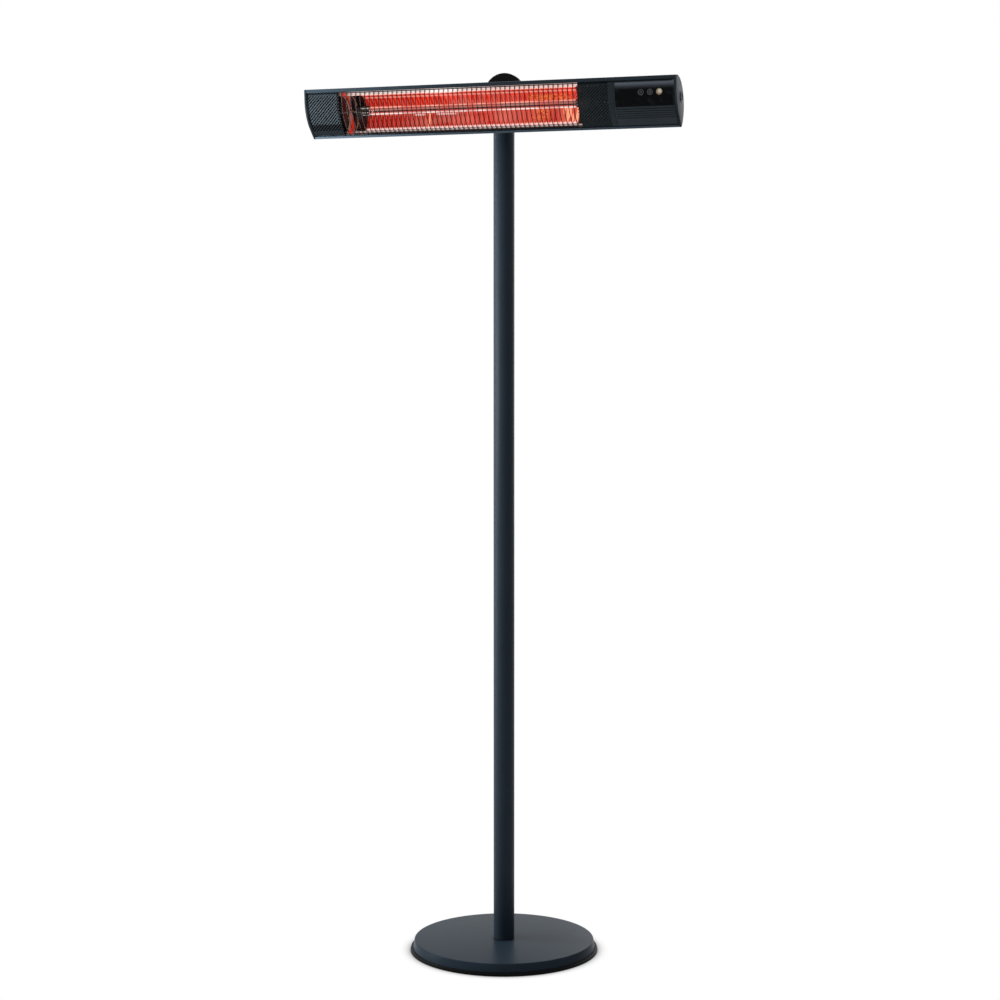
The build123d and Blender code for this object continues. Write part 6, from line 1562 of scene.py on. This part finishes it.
class HEATER_OT_controls(HeaterOperator):
    """Builds the keys with their printed rings and symbols, the lens and the mains switch"""

    bl_idname = "heater.controls"
    bl_label = "Controls"

    def execute(self, context):
        self.sizes, self.shape = context.scene.heater_controls, self.head
        self.key("power_key", 0)
        self.key("mode_key", 1)
        self.marks("power_key", 0, self.power_symbol, "printed mark")
        self.marks("mode_key", 1, self.level_symbol, "dim mark")
        self.disc("mode_key", 1)
        self.lens()
        self.switch()
        self.rocker()
        return {"FINISHED"}

    def plane(self, index):
        """Place function of one key: u to the right, v up, w outwards from the skin."""
        sizes, head = self.sizes, self.shape
        depth, turn = head.front_depth(sizes.key_height), head.facing(sizes.key_height)
        return head.square_plane(sizes.key_x + index * sizes.key_pitch, depth, sizes.key_height, turn)

    def key(self, node, index):
        """A key with a softly rounded edge, a flange and a stem."""
        sizes = self.sizes
        radius, proud, back, flange = sizes.key_radius, sizes.key_proud, -sizes.key_back, sizes.flange_radius
        foot, stem, end = back - sizes.flange_sheet, sizes.stem_radius, -sizes.stem_end
        turned_piece(f"{node}_cap", node, "key face", [node], [
            (0, proud - 0.0001, 0), (radius * 0.72, proud - 0.0001, 0.002), (radius, proud, 0.0004),
            (radius, back, 0), (flange, back, 0.0002), (flange, foot, 0.0002), (stem, foot, 0),
            (stem, end, 0.0003), (0, end, 0),
        ], 3, self.plane(index), 64)

    def marks(self, node, index, symbol, finish):
        """Printed ring and symbol on a key's face."""
        sizes, place = self.sizes, self.plane(index)
        low, high = sizes.key_proud - 0.00002, sizes.key_proud + sizes.ink
        inner, outer = sizes.mark_ring, sizes.mark_ring + sizes.mark_line
        mesh = bmesh.new()
        revolve(mesh, [(inner, low), (outer, low), (outer, high), (inner, high)], place, 64)
        for outline in symbol():
            loft(mesh, [[place(u, v, w) for u, v in outline] for w in (low, high)])
        finish_piece(f"{node}_marks", mesh, node, finish)

    def disc(self, node, index):
        """Thin grey disc printed inside a key's ring."""
        place, sizes = self.plane(index), self.sizes
        low, high = sizes.key_proud - 0.00005, sizes.key_proud + sizes.ink * 0.4
        mesh = bmesh.new()
        loft(mesh, [[place(u, v, w) for u, v in circle(0.0055, 48)] for w in (low, high)])
        finish_piece(f"{node}_disc", mesh, node, "key print")

    def power_symbol(self):
        """Broken ring and upright bar."""
        turns = [radians(128 + 284 * i / 24) for i in range(25)]
        outer = [(0.0028 * cos(turn), 0.0028 * sin(turn)) for turn in turns]
        inner = [(0.0021 * cos(turn), 0.0021 * sin(turn)) for turn in reversed(turns)]
        return [outer + inner, self.bar(-0.00035, 0.0006, 0.0007, 0.0034)]

    def level_symbol(self):
        """Three bars of rising height."""
        foot, heights = -0.0019, (0.0014, 0.0026, 0.0038)
        return [self.bar(-0.0022 + i * 0.0016, foot, 0.001, height + foot) for i, height in enumerate(heights)]

    def bar(self, left, low, width, high):
        """Outline of an upright bar."""
        return [(left, low), (left + width, low), (left + width, high), (left, high)]

    def lens(self):
        """Domed receiver lens."""
        sizes = self.sizes
        radius, back, flange = sizes.key_radius, -sizes.key_back, sizes.flange_radius
        dome = [(radius * i / 8, sizes.lens_dome - 0.0005 * (i / 8) ** 2, 0) for i in range(9)]
        foot = back - sizes.flange_sheet
        turned_piece("receiver_dome", "head", "amber lens", ["receiver_lens"], dome + [
            (radius, back, 0), (flange, back, 0), (flange, foot, 0), (0, foot, 0),
        ], 0, self.plane(2), 64)

    def switch(self):
        """Clear lip and black seat ring of the mains switch in the right end cap."""
        sizes, head = self.sizes, self.shape
        wall = head.sizes.right
        face, seat = wall + sizes.bezel_proud, wall + 0.0007
        outer, inner, hole = sizes.bezel_radius, sizes.bezel_radius - sizes.lip_wall, sizes.bezel_hole
        side = lambda x, y, reach: head.at(reach, sizes.switch_depth + x, y)
        turned_piece("switch_clear_lip", "head", "clear bezel", ["switch_bezel"], [
            (inner, wall, 0), (outer, wall, 0.0002), (outer, face, 0.0005), (inner, face, 0.0003),
        ], 4, side, 96)
        turned_piece("switch_seat_ring", "head", "switch black", [], [
            (hole, wall, 0), (inner + 0.0002, wall, 0), (inner + 0.0002, seat, 0.0002), (hole, seat, 0.0002),
        ], 3, side, 96)

    def rocker(self):
        """Hollow-faced rocker on its pin, with a printed stroke."""
        sizes = self.sizes
        half, thick, dip = sizes.rocker_length / 2, sizes.rocker_thickness / 2, sizes.rocker_dip
        hollow = [(thick - dip * (1 - abs(i) / 6), half * i / 6) for i in range(-5, 6)]
        profile = [(-thick, -half), (thick, -half), *hollow, (thick, half), (-thick, half)]
        mesh = bmesh.new()
        self.bridge(mesh, self.swung(profile), sizes.rocker_width / 2)
        self.bridge(mesh, circle(0.0015, 20), 0.0065)
        finish_piece(
            "rocker_paddle", mesh, "mains_rocker", "switch black", ["mains_rocker"], crease=40,
            bevel=0.0003,
        )
        (low_rest, low), (high_rest, high) = (
            (thick - dip * (1 - height / half) + 0.00003, height) for height in (0.0036, 0.0054)
        )
        ink = 0.00006
        stroke = [(low_rest, low), (low_rest + ink, low), (high_rest + ink, high), (high_rest, high)]
        mesh = bmesh.new()
        self.bridge(mesh, self.swung(stroke), 0.0004)
        finish_piece("rocker_mark", mesh, "mains_rocker", "printed mark")

    def swung(self, points):
        """Points turned by the rocker's tilt."""
        swing = self.sizes.rocker_tilt
        return [(x * cos(swing) - y * sin(swing), x * sin(swing) + y * cos(swing)) for x, y in points]

    def bridge(self, mesh, outline, reach):
        """A drawing about the rocker's axis, carried to both sides along that axis."""
        x0, middle = self.sizes.rocker_x, self.sizes.switch_depth
        loft(mesh, [
            [self.shape.at(x0 + x, middle + across, y) for x, y in outline] for across in (-reach, reach)
        ])


class HEATER_OT_trees(HeaterOperator):
    """Makes the geometry node trees of the repeated shapes"""

    bl_idname = "heater.trees"
    bl_label = "Node Trees"

    def execute(self, context):
        wire_row_tree()
        diamond_sheet_tree()
        socket_screw_tree()
        heating_coil_tree()
        return {"FINISHED"}


# ---- Stage ----
class HEATER_OT_stage(HeaterOperator):
    """Sets up the floor, the soft studio light and the camera"""

    bl_idname = "heater.stage"
    bl_label = "Stage"

    def execute(self, context):
        scene, studio = context.scene, context.scene.heater_studio
        self.floor(scene)
        self.world(scene, studio)
        self.lamp("left softbox", (-2.6, -0.5, 1.5), (0, 0, 1.1), (1.1, 3.2), studio.key_power)
        self.lamp("top softbox", (0.3, -0.4, 3.6), (0, 0, 0), (2.4, 2.0), studio.top_power)
        self.lamp("left fill", (-1.15, -0.8, 1.5), (-0.3, -0.1, 1.9), (0.35, 0.6), studio.fill_power)
        self.lamp("back softbox", (0.5, 3.4, 1.9), (0, 0, 1.5), (2.4, 2.4), studio.back_power)
        data = bpy.data.cameras.new("front camera")
        data.lens, data.sensor_width = studio.lens, 36
        data.shift_x, data.shift_y = studio.shift_x, studio.shift_y
        camera = bpy.data.objects.new("front camera", data)
        scene.collection.objects.link(camera)
        turn = studio.turn
        camera.location = (studio.distance * sin(turn), -studio.distance * cos(turn), studio.camera_height)
        camera.rotation_euler = (pi / 2 - studio.pitch, 0, turn)
        scene.camera = camera
        scene.view_settings.view_transform = "Standard"
        return {"FINISHED"}

    def floor(self, scene):
        """Pale floor, plain white to the camera, with a painted contact shadow worked out from occlusion."""
        mesh = bmesh.new()
        bmesh.ops.create_grid(mesh, x_segments=1, y_segments=1, size=30)
        bmesh.ops.translate(mesh, verts=mesh.verts, vec=(0, 0, -0.0002))
        data = bpy.data.meshes.new("studio_floor")
        mesh.to_mesh(data)
        mesh.free()
        floor = bpy.data.objects.new("studio_floor", data)
        scene.collection.objects.link(floor)
        material = bpy.data.materials.new("studio floor")
        material.use_nodes = True
        data.materials.append(material)
        tree = ShaderTree(material.node_tree)
        tree.nodes.clear()
        # painted contact shadow: occlusion darkens the white that the camera sees
        contact = tree.node("ShaderNodeAmbientOcclusion", {}, output="AO", Distance=0.045)
        shadow = tree.node("ShaderNodeMapRange", {}, contact, 0.52, 0.9, 0.02)
        plain = tree.node("ShaderNodeBsdfDiffuse", {}, (0.6, 0.6, 0.6, 1))
        white = tree.node("ShaderNodeEmission", {}, shadow)
        mixed = tree.node("ShaderNodeMixShader", {}, self.seen(tree), plain, white)
        tree.fill(tree.nodes.new("ShaderNodeOutputMaterial").inputs["Surface"], mixed)

    def seen(self, tree):
        """1 for rays that show the background: from the camera, off gloss or through glass."""
        path = tree.nodes.new("ShaderNodeLightPath").outputs
        camera, gloss, glass = (
            Signal(tree, path[f"Is {name} Ray"]) for name in ("Camera", "Glossy", "Transmission")
        )
        return camera.most(gloss).most(glass)

    def world(self, scene, studio):
        """White background with a plain soft light behind it."""
        scene.world = bpy.data.worlds.new("studio")
        scene.world.use_nodes = True
        tree = ShaderTree(scene.world.node_tree)
        backdrop = tree.nodes["Background"].inputs
        tree.fill(backdrop["Color"], (1, 1, 1, 1))
        strength = tree.node("ShaderNodeMapRange", {}, self.seen(tree), None, None, studio.ambient, 1.0)
        tree.fill(backdrop["Strength"], strength)

    def lamp(self, name, place, target, size, power):
        """A rectangular soft light aimed at a point."""
        data = bpy.data.lights.new(name, "AREA")
        data.shape = "RECTANGLE"
        data.size, data.size_y = size
        data.energy = power
        light = bpy.data.objects.new(name, data)
        light.location = place
        aim = Vector(target) - Vector(place)
        light.rotation_euler = aim.to_track_quat("-Z", "Y").to_euler()
        bpy.context.scene.collection.objects.link(light)


class HEATER_PT_panel(bpy.types.Panel):
    """Lists the heater's pieces and sizes"""

    bl_label = "Infrared Heater"
    bl_idname = "HEATER_PT_panel"
    bl_space_type = "VIEW_3D"
    bl_region_type = "UI"
    bl_category = "Heater"

    def draw(self, context):
        for operator in OPERATORS:
            self.layout.operator(operator.bl_idname)
        for name, group in GROUPS.items():
            box = self.layout.box()
            box.label(text=group.__doc__)
            for key in group.__annotations__:
                box.prop(getattr(context.scene, name), key)


GROUPS = {
    "heater_base": HeaterBaseSizes,
    "heater_disc": HeaterDiscSizes,
    "heater_head": HeaterHeadSizes,
    "heater_front": HeaterFrontSizes,
    "heater_lamp": HeaterLampSizes,
    "heater_controls": HeaterControlSizes,
    "heater_finishes": HeaterFinishes,
    "heater_studio": HeaterStudioSettings,
}
OPERATORS = (
    HEATER_OT_finishes, HEATER_OT_trees, HEATER_OT_base, HEATER_OT_pole, HEATER_OT_housing, HEATER_OT_panels,
    HEATER_OT_guard, HEATER_OT_lamp, HEATER_OT_controls, HEATER_OT_stage,
)


def register():
    """Registers the classes and gives the scene its groups of sizes."""
    for item in (*GROUPS.values(), *OPERATORS, HEATER_PT_panel):
        bpy.utils.register_class(item)
    for name, group in GROUPS.items():
        setattr(bpy.types.Scene, name, PointerProperty(type=group))


def unregister():
    """Takes the groups and classes away again."""
    for name in GROUPS:
        delattr(bpy.types.Scene, name)
    for item in (HEATER_PT_panel, *reversed(OPERATORS), *reversed(GROUPS.values())):
        bpy.utils.unregister_class(item)


def main():
    """Builds the whole heater."""
    register()
    for operator in OPERATORS:
        getattr(bpy.ops.heater, operator.bl_idname.split(".")[1])()


if __name__ == "__main__":
    main()
